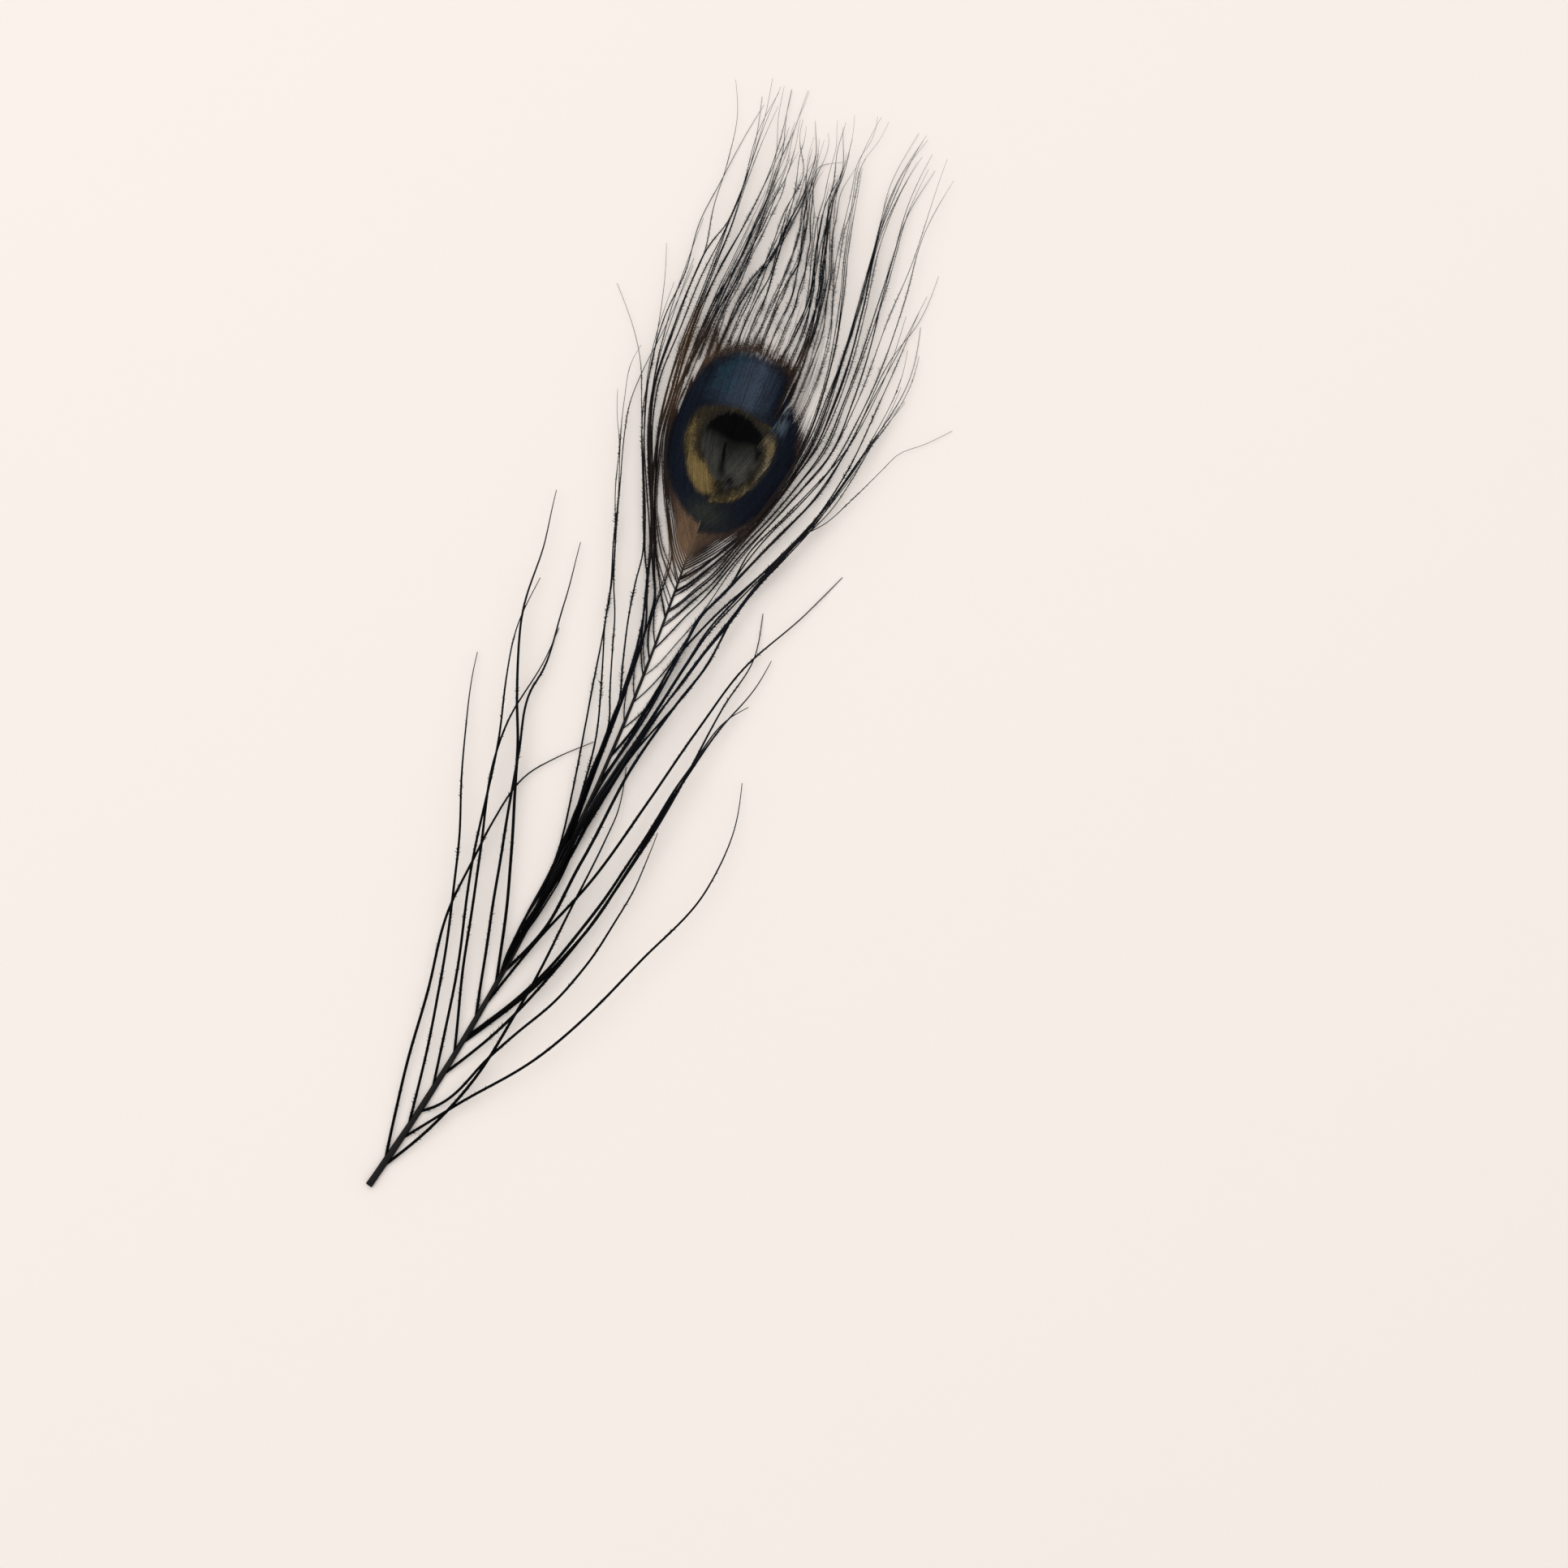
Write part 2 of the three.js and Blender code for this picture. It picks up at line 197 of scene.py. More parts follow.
# What all barbules share: how near a line's ends they stand, the least reach that is kept, the reach below
# which the base shrinks, how far the base leans out, the least height over the surface, and the places of
# their points on the strip.
spike = dict(
    first=0.004, last=0.995, least=0.07, fullBase=0.4, lean=0.02, lowest=0.04,
    mapAlong=(-0.0012, 0.0012, 0.0, 0.0018), mapLevel=(0.02, 0.02, 0.12, 0.42),
)


def barbules(shape, rng, lines, reach, look, row, rows, **numbers):
    # Short closed spikes along both sides of each line. A spike starts on the line, leans towards the tip
    # by the sweep angle, tilts up or down a little, and has a base that shrinks with a short reach.
    many, steps = lines.shape[:2]
    tangent, side, up = frameOf(lines)
    length = np.linalg.norm(np.diff(lines, axis=1), axis=2).sum(axis=1)
    most = int(length.max() / look["pitch"])
    share = np.arange(most)[None, :] + rng.uniform(-0.3, 0.3, (many, most))
    share = share * look["pitch"] / length[:, None]
    barb, spot = np.nonzero((share > spike["first"]) & (share < spike["last"]))
    low = np.minimum((share[barb, spot] * (steps - 1)).astype(int), steps - 2)
    part = share[barb, spot] * (steps - 1) - low

    def between(values):
        weight = part.reshape((-1,) + (1,) * (values.ndim - 2))
        return values[barb, low] * (1 - weight) + values[barb, low + 1] * weight

    for hand in (-1.0, 1.0):
        long = between(reach) * rng.uniform(look["shortest"], 1.0, len(barb))
        keep = long > spike["least"]
        root, ahead, out, above = (between(values)[keep] for values in (lines, tangent, side, up))
        long = long[keep][:, None]
        sweep = np.radians(look["sweep"] + rng.normal(0, look["unruly"], len(long)))[:, None]
        tilt = np.radians(look["tilt"] + rng.normal(0, look["unruly"], len(long)))[:, None]
        aim = np.cos(sweep) * ahead + np.sin(sweep) * (hand * np.cos(tilt) * out + np.sin(tilt) * above)
        base = 0.5 * look["base"] * np.minimum(1.0, long / spike["fullBase"])
        corners = np.stack([
            root - ahead * base,
            root + ahead * base,
            root + above * look["thick"] + hand * out * spike["lean"],
            root + aim * long,
        ], axis=1)
        corners[..., 2] = np.maximum(corners[..., 2], spike["lowest"])
        block = np.arange(len(long))[:, None] * 4
        sense = np.array([[0, 1, 2], [0, 3, 1], [1, 3, 2], [2, 3, 0]])
        sense = sense if hand < 0 else sense[:, ::-1]
        faces = (block[:, :, None] + sense[None]).reshape(-1, 3)
        along = bakeStrip["inset"] + (1 - 2 * bakeStrip["inset"]) * share[barb, spot][keep][:, None]
        along = np.clip(along + np.array(spike["mapAlong"]), 0, 1)
        level = 0.5 + hand * np.array(spike["mapLevel"])
        places = np.stack([along, (row[barb[keep]][:, None] + level[None, :]) / rows], axis=2)
        spread = {
            name: np.repeat(between(values)[keep][:, None], 4, axis=1) for name, values in numbers.items()
        }
        fleck = np.repeat(rng.uniform(0, 1, (len(long), 1)), 4, axis=1)
        shape.add(corners, faces, places, fleck=fleck, **spread)


class Value:
    # A number socket that takes part in sums, so a mask reads as a formula.
    def __init__(self, graph, socket):
        self.graph, self.socket = graph, socket

    def math(self, operation, first, second):
        node = self.graph.node("ShaderNodeMath", dict(operation=operation), {0: first, 1: second})
        return Value(self.graph, node.outputs[0])

    def __add__(self, other):
        return self.math("ADD", self, other)

    def __radd__(self, other):
        return self.math("ADD", other, self)

    def __sub__(self, other):
        return self.math("SUBTRACT", self, other)

    def __rsub__(self, other):
        return self.math("SUBTRACT", other, self)

    def __mul__(self, other):
        return self.math("MULTIPLY", self, other)

    def __rmul__(self, other):
        return self.math("MULTIPLY", other, self)

    def ease(self, low, high):
        ends = {"Value": self, "From Min": low, "From Max": high}
        node = self.graph.node("ShaderNodeMapRange", dict(interpolation_type="SMOOTHSTEP"), ends)
        return Value(self.graph, node.outputs[0])


class Graph:
    # The nodes of one material. Every node comes from node().
    def __init__(self, name):
        self.material = bpy.data.materials.new(name)
        self.material.use_nodes = True
        self.tree = self.material.node_tree
        self.tree.nodes.clear()

    def node(self, kind, settings, inputs):
        made = self.tree.nodes.new(kind)
        for name, value in settings.items():
            setattr(made, name, value)
        for name, value in inputs.items():
            socket = made.inputs[name]
            source = value.socket if isinstance(value, Value) else value
            if isinstance(source, bpy.types.NodeSocket):
                self.tree.links.new(source, socket)
            else:
                socket.default_value = source
        return made

    def number(self, name):
        # a number that the mesh carries at each point
        return Value(self, self.node("ShaderNodeAttribute", dict(attribute_name=name), {}).outputs["Fac"])

    def grain(self, size, stretch=(1, 1, 1), detail=3.0):
        # noise on the piece's own coordinates, with grains of this size in metres
        spot = self.node("ShaderNodeTexCoord", {}, {}).outputs["Object"]
        ways = {"Vector": spot, "Scale": stretch}
        place = self.node("ShaderNodeMapping", dict(vector_type="POINT"), ways)
        fineness = {"Vector": place.outputs[0], "Scale": 1.0 / size, "Detail": detail}
        return Value(self, self.node("ShaderNodeTexNoise", {}, fineness).outputs["Fac"])

    def mix(self, factor, first, second):
        mixed = self.node("ShaderNodeMix", dict(data_type="RGBA"), {0: factor, 6: first, 7: second})
        return mixed.outputs[2]

    def scale(self, colour, factor):
        scaled = self.node("ShaderNodeVectorMath", dict(operation="SCALE"), {0: colour, "Scale": factor})
        return scaled.outputs[0]

    def finish(self, colour, roughness, height, look, metallic=0.0):
        bumps = {"Height": height, "Strength": look["relief"], "Distance": look["depth"]}
        relief = self.node("ShaderNodeBump", {}, bumps)
        shader = self.node("ShaderNodeBsdfPrincipled", {}, {
            "Base Color": colour, "Roughness": roughness, "Metallic": metallic,
            "Specular IOR Level": look["gloss"], "Normal": relief.outputs[0],
        })
        self.node("ShaderNodeOutputMaterial", {}, {"Surface": shader.outputs[0]})
        return self.material


def dye(red, green, blue):
    # a colour as it shows on a screen, 0 to 255, made linear
    share = np.array([red, green, blue]) / 255.0
    linear = np.where(share <= 0.04045, share / 12.92, ((share + 0.055) / 1.055) ** 2.4)
    return (*[float(v) for v in linear], 1.0)


# The shaft: a bowed quill with a flat underside, black with brown horn showing under the eye.
shaft = dict(
    length=244.0, bowLength=185.0, bowAcross=24.4,
    width=2.2, height=1.8, tipWidth=0.4, taper=0.8,
    flatLength=196.0, tipLift=1.9, steps=220, sides=14, swell=0.03, swellTempo=9.0, seed=5,
    seenFrom=(192, 207), seenTo=(218, 226), underVane=0.08, hornFrom=(201, 211), hornTo=(220, 226),
)


def shaftAcross(along):
    # a parabola that meets the straight upper part smoothly
    left = np.maximum(0.0, 1.0 - along / shaft["bowLength"])
    return shaft["bowAcross"] * (1.0 - left * left)


def shaftWidth(along):
    share = np.clip(along / shaft["length"], 0.0, 1.0) ** shaft["taper"]
    return shaft["width"] + (shaft["tipWidth"] - shaft["width"]) * share


def shaftHeight(along):
    return shaftWidth(along) * shaft["height"] / shaft["width"]


def shaftUnderside(along):
    past = np.maximum(0.0, along - shaft["flatLength"]) / (shaft["length"] - shaft["flatLength"])
    return shaft["tipLift"] * past


quillDye = dict(
    black=dye(10, 9, 10), worn=dye(46, 40, 36), horn=dye(92, 78, 62),
    rough=0.36, gloss=0.16, relief=0.6, depth=0.00008,
)


def quill():
    g = Graph("quill")
    fibre = g.grain(0.0012, stretch=(1, 0.08, 1), detail=5)
    rub = g.grain(0.006, detail=4).ease(0.55, 0.75)
    colour = g.mix(rub * 0.4 + fibre * 0.2, quillDye["black"], quillDye["worn"])
    colour = g.mix(g.number("horn") * (0.5 + 0.9 * fibre), colour, quillDye["horn"])
    return g.finish(colour, quillDye["rough"] + 0.3 * fibre, fibre, quillDye)


def makeShaft(material):
    # The CAD's line and size, with a faint swell, and lifted to lie between the vane's barbs below the eye.
    along = np.linspace(0, shaft["length"], shaft["steps"])
    middle = shaftUnderside(along) + shaftHeight(along) / 2
    seen = ease(*shaft["seenFrom"], along) * (1 - ease(*shaft["seenTo"], along))
    middle = middle + (vaneHeight(shaftAcross(along), along) - shaft["underVane"] - middle) * seen
    line = np.stack([shaftAcross(along), along, middle], axis=1)[None]
    rng = np.random.default_rng(shaft["seed"])
    swell = 1 + shaft["swell"] * waves(rng, 1, along / shaft["length"], shaft["swellTempo"])
    horn = ease(*shaft["hornFrom"], along) * (1 - ease(*shaft["hornTo"], along))
    shape = Shape()
    half, thick = shaftWidth(along)[None] / 2 * swell, shaftHeight(along)[None] * swell
    tubes(shape, line, half, thick, np.array([0]), 1, sides=shaft["sides"], horn=horn[None])
    shape.piece("shaft", material)


# The loose barbs, lock by lock: where each lock leaves the shaft, and the way it takes.
boldBarbules = dict(pitch=0.36, sweep=34, unruly=12, tilt=4, base=0.46, thick=0.12, shortest=0.4)
softBarbules = dict(pitch=0.34, sweep=41, unruly=14, tilt=4, base=0.2, thick=0.07, shortest=0.5)

lowerBarbs = dict(
    locks=[
        (8, [(-1, 30), (-3.5, 60), (-5.5, 85), (-4, 102), (-2.5, 114), (2.5, 131), (8, 138), (17, 147)]),
        (20, [(0.5, 58), (-4, 82), (-10, 105), (-16, 124), (-20, 140), (-24, 160)]),
        (33, [(2.5, 70), (-4.5, 104), (-9, 138), (-13, 156), (-15, 170), (-14.5, 187)]),
        (45, [(3.2, 76), (-3, 105), (-8, 131), (-8.3, 142), (-5, 166), (-4.5, 175)]),
        (57, [(6.5, 88), (2, 112), (-2.5, 137), (-5.2, 155), (-4, 161), (-5, 182), (-7.2, 201)]),
        (69, [(9, 96), (3, 118), (-3, 138), (-8.5, 152), (-15.5, 174), (-17, 198), (-19, 213)]),
        (6, [(11, 22), (19.5, 43), (24, 64), (28, 97), (30.5, 122), (31, 129), (28.5, 143)]),
        (16, [(16, 31), (35, 55), (53, 91), (64, 117), (66, 136), (63, 150.5)]),
        (25.5, [(10, 28.5), (21, 49), (35.5, 76), (43, 107), (44.5, 128)]),
        (38, [(20, 56), (33, 88), (43, 127), (46.5, 147), (50, 170), (54, 187), (51.8, 200)]),
        (49, [(24.5, 70), (34.5, 93), (41, 119), (46, 142), (51, 163), (57, 181.5), (58.3, 187.5)]),
        (50.5, [(24, 71), (34, 95), (40.5, 120), (46, 146), (52.7, 168), (56.5, 172.5)]),
        (61, [(22, 85.5), (31.5, 109), (38.5, 135), (45, 161), (51, 181.5), (64, 204), (70, 218)]),
        (73, [(23, 90), (26.3, 112), (30.5, 143), (37, 167), (41, 179), (43.3, 195), (52, 218)]),
    ],
    archLow=3.0, archStep=1.2,
    perLock=[1, 1, 1, 1, 1, 1, 1, 1, 1, 1, 1, 1, 1, 1],
    spread=[0.0, 0.15, 0.35, 0.5, 0.9], wander=0.22, pinch=0.0, shortest=0.97,
    half=0.54, tipHalf=0.13, taper=3.0, rootShare=1.0, finest=0.85, thick=0.52, reach=1.2, bareFrom=0.78,
    barbules=boldBarbules, seed=11,
)

middleBarbs = dict(
    locks=[
        (84, [(18.4, 115), (16.6, 130), (13.4, 150), (11.4, 162), (8.5, 181), (6.3, 192), (2.4, 204.5),
            (-1.6, 220), (-5.8, 235), (-7.6, 244), (-7.5, 255), (-6, 268), (-4, 290)]),
        (88, [(19.3, 128), (17.1, 150), (14.6, 160), (11.6, 171), (8.8, 180.5), (6.5, 192), (2.8, 204.5),
            (-2.6, 219), (-7, 234), (-9.5, 239), (-12.6, 247.5)]),
        (93, [(19.6, 138), (19.8, 154), (17.1, 162.3), (13.5, 174), (10.3, 184.5), (6.8, 192.8), (3, 204),
            (-0.6, 216), (-5.2, 231), (-8.6, 245), (-10.6, 257), (-9.8, 262)]),
        (97, [(19.8, 132), (20.2, 155), (20.4, 172), (18.4, 185), (15.9, 196), (12, 204.5), (6.3, 220),
            (0.9, 234), (-4, 246.5), (-8.5, 257), (-14, 266), (-23.5, 277)]),
        (101, [(19.8, 136), (20.1, 152), (20, 160), (17.1, 172.3), (14.4, 184.5), (12.8, 196), (12.2, 203),
            (8, 215.5), (2.3, 229.5), (-3.2, 245), (-6, 262), (-14, 293)]),
        (105, [(20, 140), (20.5, 160), (19.7, 178), (16.1, 196), (12.6, 207.5), (6, 222.5), (0.2, 236.5),
            (-4, 251), (-7, 283)]),
        (109, [(20.2, 140), (20.6, 165), (20.2, 178), (17.2, 191), (14, 204), (10.6, 215), (5, 228),
            (-0.4, 242), (-3.4, 258), (-4.5, 292)]),
        (113, [(20.6, 140), (21, 165), (20.2, 184), (16.3, 196.5), (13.4, 209), (8.8, 220.5), (3.4, 234),
            (-1.8, 249), (-5, 270), (-6, 304)]),
        (84, [(22.6, 112), (25.7, 130), (30, 148), (34.6, 160), (39, 172), (41.8, 184), (44.2, 199),
            (50.8, 215), (56, 227.5), (60.8, 246), (64.6, 260), (69, 273)]),
        (88, [(23.1, 118), (27.8, 140), (31.6, 156), (37.4, 178), (41.3, 190), (44.6, 199), (51.4, 218),
            (55, 226), (59.3, 231), (64, 240), (69.6, 252), (72.4, 258), (79, 264), (85, 270.5)]),
        (92, [(23.4, 124), (27.7, 142), (31.8, 158), (39.4, 184), (43.3, 195), (46, 204), (53.4, 222.5),
            (59.4, 235), (63.2, 251), (65.4, 264), (69, 273.5)]),
        (100, [(23.9, 128), (29.2, 150), (35.6, 171), (42.6, 193), (46, 203), (51.4, 217.5), (58, 235),
            (64.2, 257.5), (66.3, 283), (65.5, 288)]),
        (108, [(24.7, 134), (29.3, 152), (35.2, 178), (38.3, 190), (42.6, 200), (50.6, 217), (55.8, 229),
            (62.2, 251), (68.5, 280), (66.3, 296)]),
        (125, [(25, 142), (27.6, 152), (31.3, 172), (32.7, 183), (33.6, 191), (37.6, 200), (42, 210),
            (47.2, 222), (53, 234), (57.4, 250), (60, 268), (64, 305)]),
        (135, [(25.6, 146), (28.6, 160), (31.4, 174), (32.9, 184), (35, 195), (38.9, 203), (41.4, 215),
            (47.5, 228), (52.8, 240), (56.6, 250), (61, 285), (60.5, 297)]),
        (144, [(26.5, 153), (29.6, 168), (31.9, 180), (34.5, 186.5), (38.5, 195), (44.4, 205.5),
            (53.8, 224), (60, 246), (62, 275), (64, 300)]),
    ],
    archLow=2.2, archStep=0.9,
    perLock=[1, 1, 1, 1, 1, 1, 1, 1, 1, 1, 1, 2, 2, 1, 1, 1],
    spread=[0.0, 0.35, 0.45, 0.5, 1.3], wander=0.2, pinch=0.6, shortest=0.9,
    half=0.41, tipHalf=0.055, taper=1.7, rootShare=1.0, finest=0.75, thick=0.44, reach=1.15, bareFrom=0.76,
    barbules=boldBarbules, seed=12,
)

# Barbs that lie matted along the shaft below the place where the locks part.
bundleBarbs = dict(
    locks=[
        (70, [(15.2, 82), (16.2, 90), (17.7, 100), (18.7, 109), (19.2, 118), (19.6, 130)]),
        (74, [(16, 84), (17.6, 92), (19.2, 101), (20.3, 110), (20.9, 117)]),
        (76, [(16.8, 86), (18.6, 95), (20.3, 104), (21.4, 112), (22.3, 120), (24, 130), (26.6, 141),
            (30, 156)]),
        (72, [(16.9, 84), (19.2, 94), (21, 103), (22.1, 112), (23, 121), (24.8, 131), (27.8, 143),
            (32, 158)]),
    ],
    archLow=0.8, archStep=0.5,
    perLock=[3, 3, 3, 4],
    spread=[0.2, 0.45, 0.5, 0.4, 0.8], wander=0.2, pinch=0.0, shortest=0.8,
    half=0.38, tipHalf=0.06, taper=3.0, rootShare=1.0, finest=0.75, thick=0.46, reach=0.62, bareFrom=0.8,
    barbules=boldBarbules, seed=17,
)

upperLeftBarbs = dict(
    locks=[
        (155, [(21.9, 160.5), (20.9, 166), (20.4, 172), (18.5, 184), (15.9, 196), (12.3, 204), (8.1, 216),
            (2.5, 230), (-0.9, 240), (-4.2, 252), (-6.3, 272), (-5.2, 287), (-6.5, 303), (-5, 316),
            (-2.9, 332), (-1, 342)]),
        (163, [(22.5, 166.5), (20.9, 172), (19.6, 182), (17.6, 190), (15.2, 198), (13.7, 204), (10, 216),
            (4, 230), (0.3, 240), (-2.6, 252), (-3.2, 264), (-2.8, 280), (-1.8, 295), (-4, 308),
            (-4.6, 322), (-6.5, 336), (-10.7, 346)]),
        (170, [(22.8, 173), (20.8, 178), (20.3, 186), (19.4, 194), (17, 199.5), (15.3, 203.6),
            (12.4, 211.5), (8.6, 220), (4.3, 230), (0.8, 240), (-2.1, 252), (-2.5, 268), (-2.6, 282),
            (-1.4, 296), (1.6, 305), (2.3, 318), (1.6, 330), (3.8, 346)]),
        (180, [(22.4, 184), (20.9, 188.5), (19.4, 194), (17.2, 199.4), (15.5, 203.8), (12.6, 211.5),
            (9, 220), (5.4, 230), (1.7, 240), (-0.9, 252), (-0.7, 270), (-0.5, 288), (1, 300), (2, 316),
            (0.6, 330), (-2.5, 344)]),
        (189, [(22.8, 191.8), (20.5, 195.7), (18, 200.5), (15.6, 205), (13, 211), (10, 218), (6.2, 230),
            (3.3, 240), (1.6, 252), (0.9, 266), (1.4, 280), (1.7, 303), (2, 318), (1, 334), (-0.6, 350)]),
        (194, [(22.5, 196.4), (19.8, 199.8), (16.3, 204.4), (12.5, 211.4), (9.2, 219), (6.1, 230),
            (4, 240), (3.1, 252), (2.1, 264), (1.8, 275), (2.3, 290), (2.9, 303), (2.4, 318), (2.8, 334),
            (3.8, 348)]),
        (197.5, [(21.9, 200), (19.5, 202.9), (16.7, 206.3), (13.5, 211.8), (10.2, 219), (7, 230),
            (4.9, 240), (4.1, 252), (3.1, 264), (2.9, 275), (3.8, 290), (6, 305), (7.5, 320), (8, 336),
            (6.5, 349)]),
        (175, [(22.4, 179), (20.9, 184), (20.3, 190), (20.3, 198), (19.8, 205), (17.2, 212.4), (12.2, 222),
            (8.8, 230), (5.8, 240), (4.8, 252), (6.8, 272), (8, 288), (9, 303), (9.4, 318), (8.2, 330),
            (5.4, 340), (3.8, 349)]),
        (200, [(22.3, 203.4), (20, 207), (17, 213), (13.4, 220), (9.2, 230), (6.5, 240), (5.4, 252),
            (5.1, 266), (5.6, 278), (6.2, 290), (7.6, 305), (9, 318)]),
    ],
    archLow=1.6, archStep=0.6,
    perLock=[1, 1, 2, 1, 2, 2, 2, 2, 2],
    spread=[0.0, 0.3, 0.5, 0.6, 1.9], wander=0.2, pinch=0.6, shortest=0.8,
    half=0.28, tipHalf=0.045, taper=3.0, rootShare=0.8, finest=0.5, thick=0.32, reach=1.3, bareFrom=0.74,
    barbules=softBarbules, seed=13,
)

upperRightBarbs = dict(
    locks=[
        (153, [(27, 158.5), (30.2, 167.6), (31.8, 176), (32.9, 184), (34.4, 192.5), (38, 200.6),
            (43.4, 213), (50.4, 228.5), (55.2, 240.5), (57.6, 251), (61.5, 285), (64.4, 297), (65, 312)]),
        (161.5, [(26.5, 166), (30.2, 175), (33.2, 187), (35.4, 196), (38.6, 202.6), (40.4, 210),
            (44.6, 222), (50, 233.4), (55.2, 246), (58.4, 266), (59.4, 282), (58.8, 302), (57.5, 318),
            (59.5, 340)]),
        (170, [(26.5, 173.5), (30.2, 182.5), (32.8, 189), (35, 196), (38.6, 210.5), (42.6, 222),
            (47.3, 234), (52.5, 246), (55.8, 268), (56.2, 297), (57.2, 312), (57.3, 326), (56.5, 345)]),
        (178.5, [(26.5, 183), (30, 191), (33.2, 197.5), (37.8, 210), (45, 228), (49.8, 240), (53.6, 251),
            (54.6, 266), (53.4, 288), (52, 302), (51.2, 322), (54, 341)]),
        (185.5, [(27, 189.5), (30.5, 196), (33.8, 202), (38.8, 216.5), (43.6, 228), (48.2, 240.5),
            (51.4, 250.5), (52.4, 268), (52.2, 293), (51.6, 312), (50.8, 325), (52.5, 345)]),
        (191, [(26.7, 194), (30.2, 200), (33.6, 205.4), (38.2, 217.5), (42.4, 228), (46.4, 240),
            (49.4, 251.5), (50.2, 264), (48.3, 295), (45.6, 315), (46.4, 330), (50, 349)]),
        (195.5, [(27, 198.5), (30.7, 204.5), (34.2, 211), (38.4, 220), (42.2, 230.5), (45.2, 240.5),
            (47.6, 252), (48, 264), (47.4, 280), (46.6, 297), (45.2, 312), (43.8, 334), (46.8, 349.5)]),
        (199.5, [(26.7, 202), (30, 206.5), (33, 211.5), (36.6, 218.6), (40.8, 229), (43.6, 239.5),
            (45.6, 252), (45.4, 268), (43.6, 282), (41.2, 294), (37.6, 308), (34.4, 324), (32.4, 335),
            (34.5, 350)]),
        (201.3, [(26.6, 204.4), (30.4, 208.9), (34.2, 214), (38.2, 221), (41.9, 230.5), (44.8, 241),
            (46.7, 252), (47.2, 266), (47.2, 282), (46.6, 296), (45.6, 310)]),
    ],
    archLow=1.8, archStep=0.6,
    perLock=[1, 1, 1, 1, 2, 3, 4, 3, 1],
    spread=[0.0, 0.45, 0.65, 0.8, 1.9], wander=0.24, pinch=0.6, shortest=0.8,
    half=0.27, tipHalf=0.04, taper=3.0, rootShare=0.85, finest=0.5, thick=0.3, reach=1.3, bareFrom=0.72,
    barbules=softBarbules, seed=14,
)

# The free ends of the eye's own barbs, above it. The longest way starts in the split of the eye.
crestBarbs = dict(
    ways=[
        [(5.5, 258), (5.3, 272), (6.2, 284), (7.4, 292), (8.6, 301), (10.1, 312), (10.6, 324), (10.9, 336),
            (10.8, 350.5)],
        [(7.2, 264), (7.8, 280), (9.3, 290), (10.4, 301), (11.3, 312), (12.2, 328), (11.6, 338),
            (12.3, 350)],
        [(9.2, 266), (9.4, 280), (10.6, 293), (12, 306), (13, 320), (13.5, 332), (12.8, 341)],
        [(11.4, 267), (12.3, 278), (12.9, 285), (14.4, 292), (17, 300), (18.4, 308), (19.8, 317),
            (20.3, 325), (20.1, 333)],
        [(14, 269), (14.6, 282), (16, 292), (16.4, 303), (16.1, 315), (17.2, 326), (15.2, 334),
            (13.6, 342)],
        [(16.4, 270), (16.8, 284), (17.8, 294), (18, 305), (17, 318), (15.6, 330), (14.6, 340)],
        [(18.7, 271), (19, 285), (19.4, 294), (18.8, 306), (19.6, 318), (20.4, 328), (19, 337),
            (15.6, 343)],
        [(21, 272), (21.6, 284), (22.5, 294), (23, 302), (22.6, 311), (20.9, 320), (19, 330), (17.5, 338)],
        [(23.3, 272), (23.6, 284), (24.4, 294), (25.3, 301), (24, 309), (21.8, 317), (20.3, 326),
            (20.6, 334)],
        [(25.5, 272), (26.2, 284), (26.9, 293), (25.4, 303), (23, 313), (21, 322), (21.4, 331),
            (24.6, 333.5), (27.4, 334.5)],
        [(27.8, 272), (28.7, 283), (28.4, 293), (26.8, 304), (24.8, 315), (22.2, 325), (19.6, 333)],
        [(30, 271), (31.4, 280), (32, 288), (30.9, 296), (28.9, 306), (26.6, 316), (25.3, 327),
            (24.6, 336), (23.5, 345)],
        [(32.2, 266), (33.4, 277), (33.4, 286), (32, 295), (29.8, 306), (27.9, 318), (27.2, 330),
            (26, 344)],
        [(34.2, 255), (34.9, 262), (35.6, 272), (36, 283), (34.7, 293), (32.2, 303), (29.9, 312),
            (28.4, 321), (27.6, 331), (26.9, 345.5)],
        [(36.8, 260), (37.2, 272), (36.6, 283), (35.5, 293), (33.4, 303), (30.6, 313), (28.8, 323),
            (28.2, 334), (27.4, 348)],
        [(38.4, 258), (38.9, 272), (38.2, 283), (36.9, 293), (34.8, 303), (31.8, 313), (29.6, 323),
            (28.9, 337)],
        [(41.4, 256), (42.4, 272), (41.6, 283), (39.5, 292), (37.3, 302), (34.9, 312), (33.1, 324),
            (32.4, 335), (34, 343), (34.4, 350)],
    ],
    archLow=0.8, archStep=0.5, underVane=0.3,
    perLock=[4, 3, 3, 5, 2, 2, 2, 3, 3, 2, 2, 3, 2, 7, 3, 2, 2],
    spread=[0.35, 0.4, 0.6, 1.1, 3.2], wander=0.46, pinch=0.8, shortest=0.62,
    half=0.21, tipHalf=0.035, taper=3.0, rootShare=0.55, finest=0.3, thick=0.26, reach=1.35, bareFrom=0.64,
    barbules=softBarbules, seed=15,
)


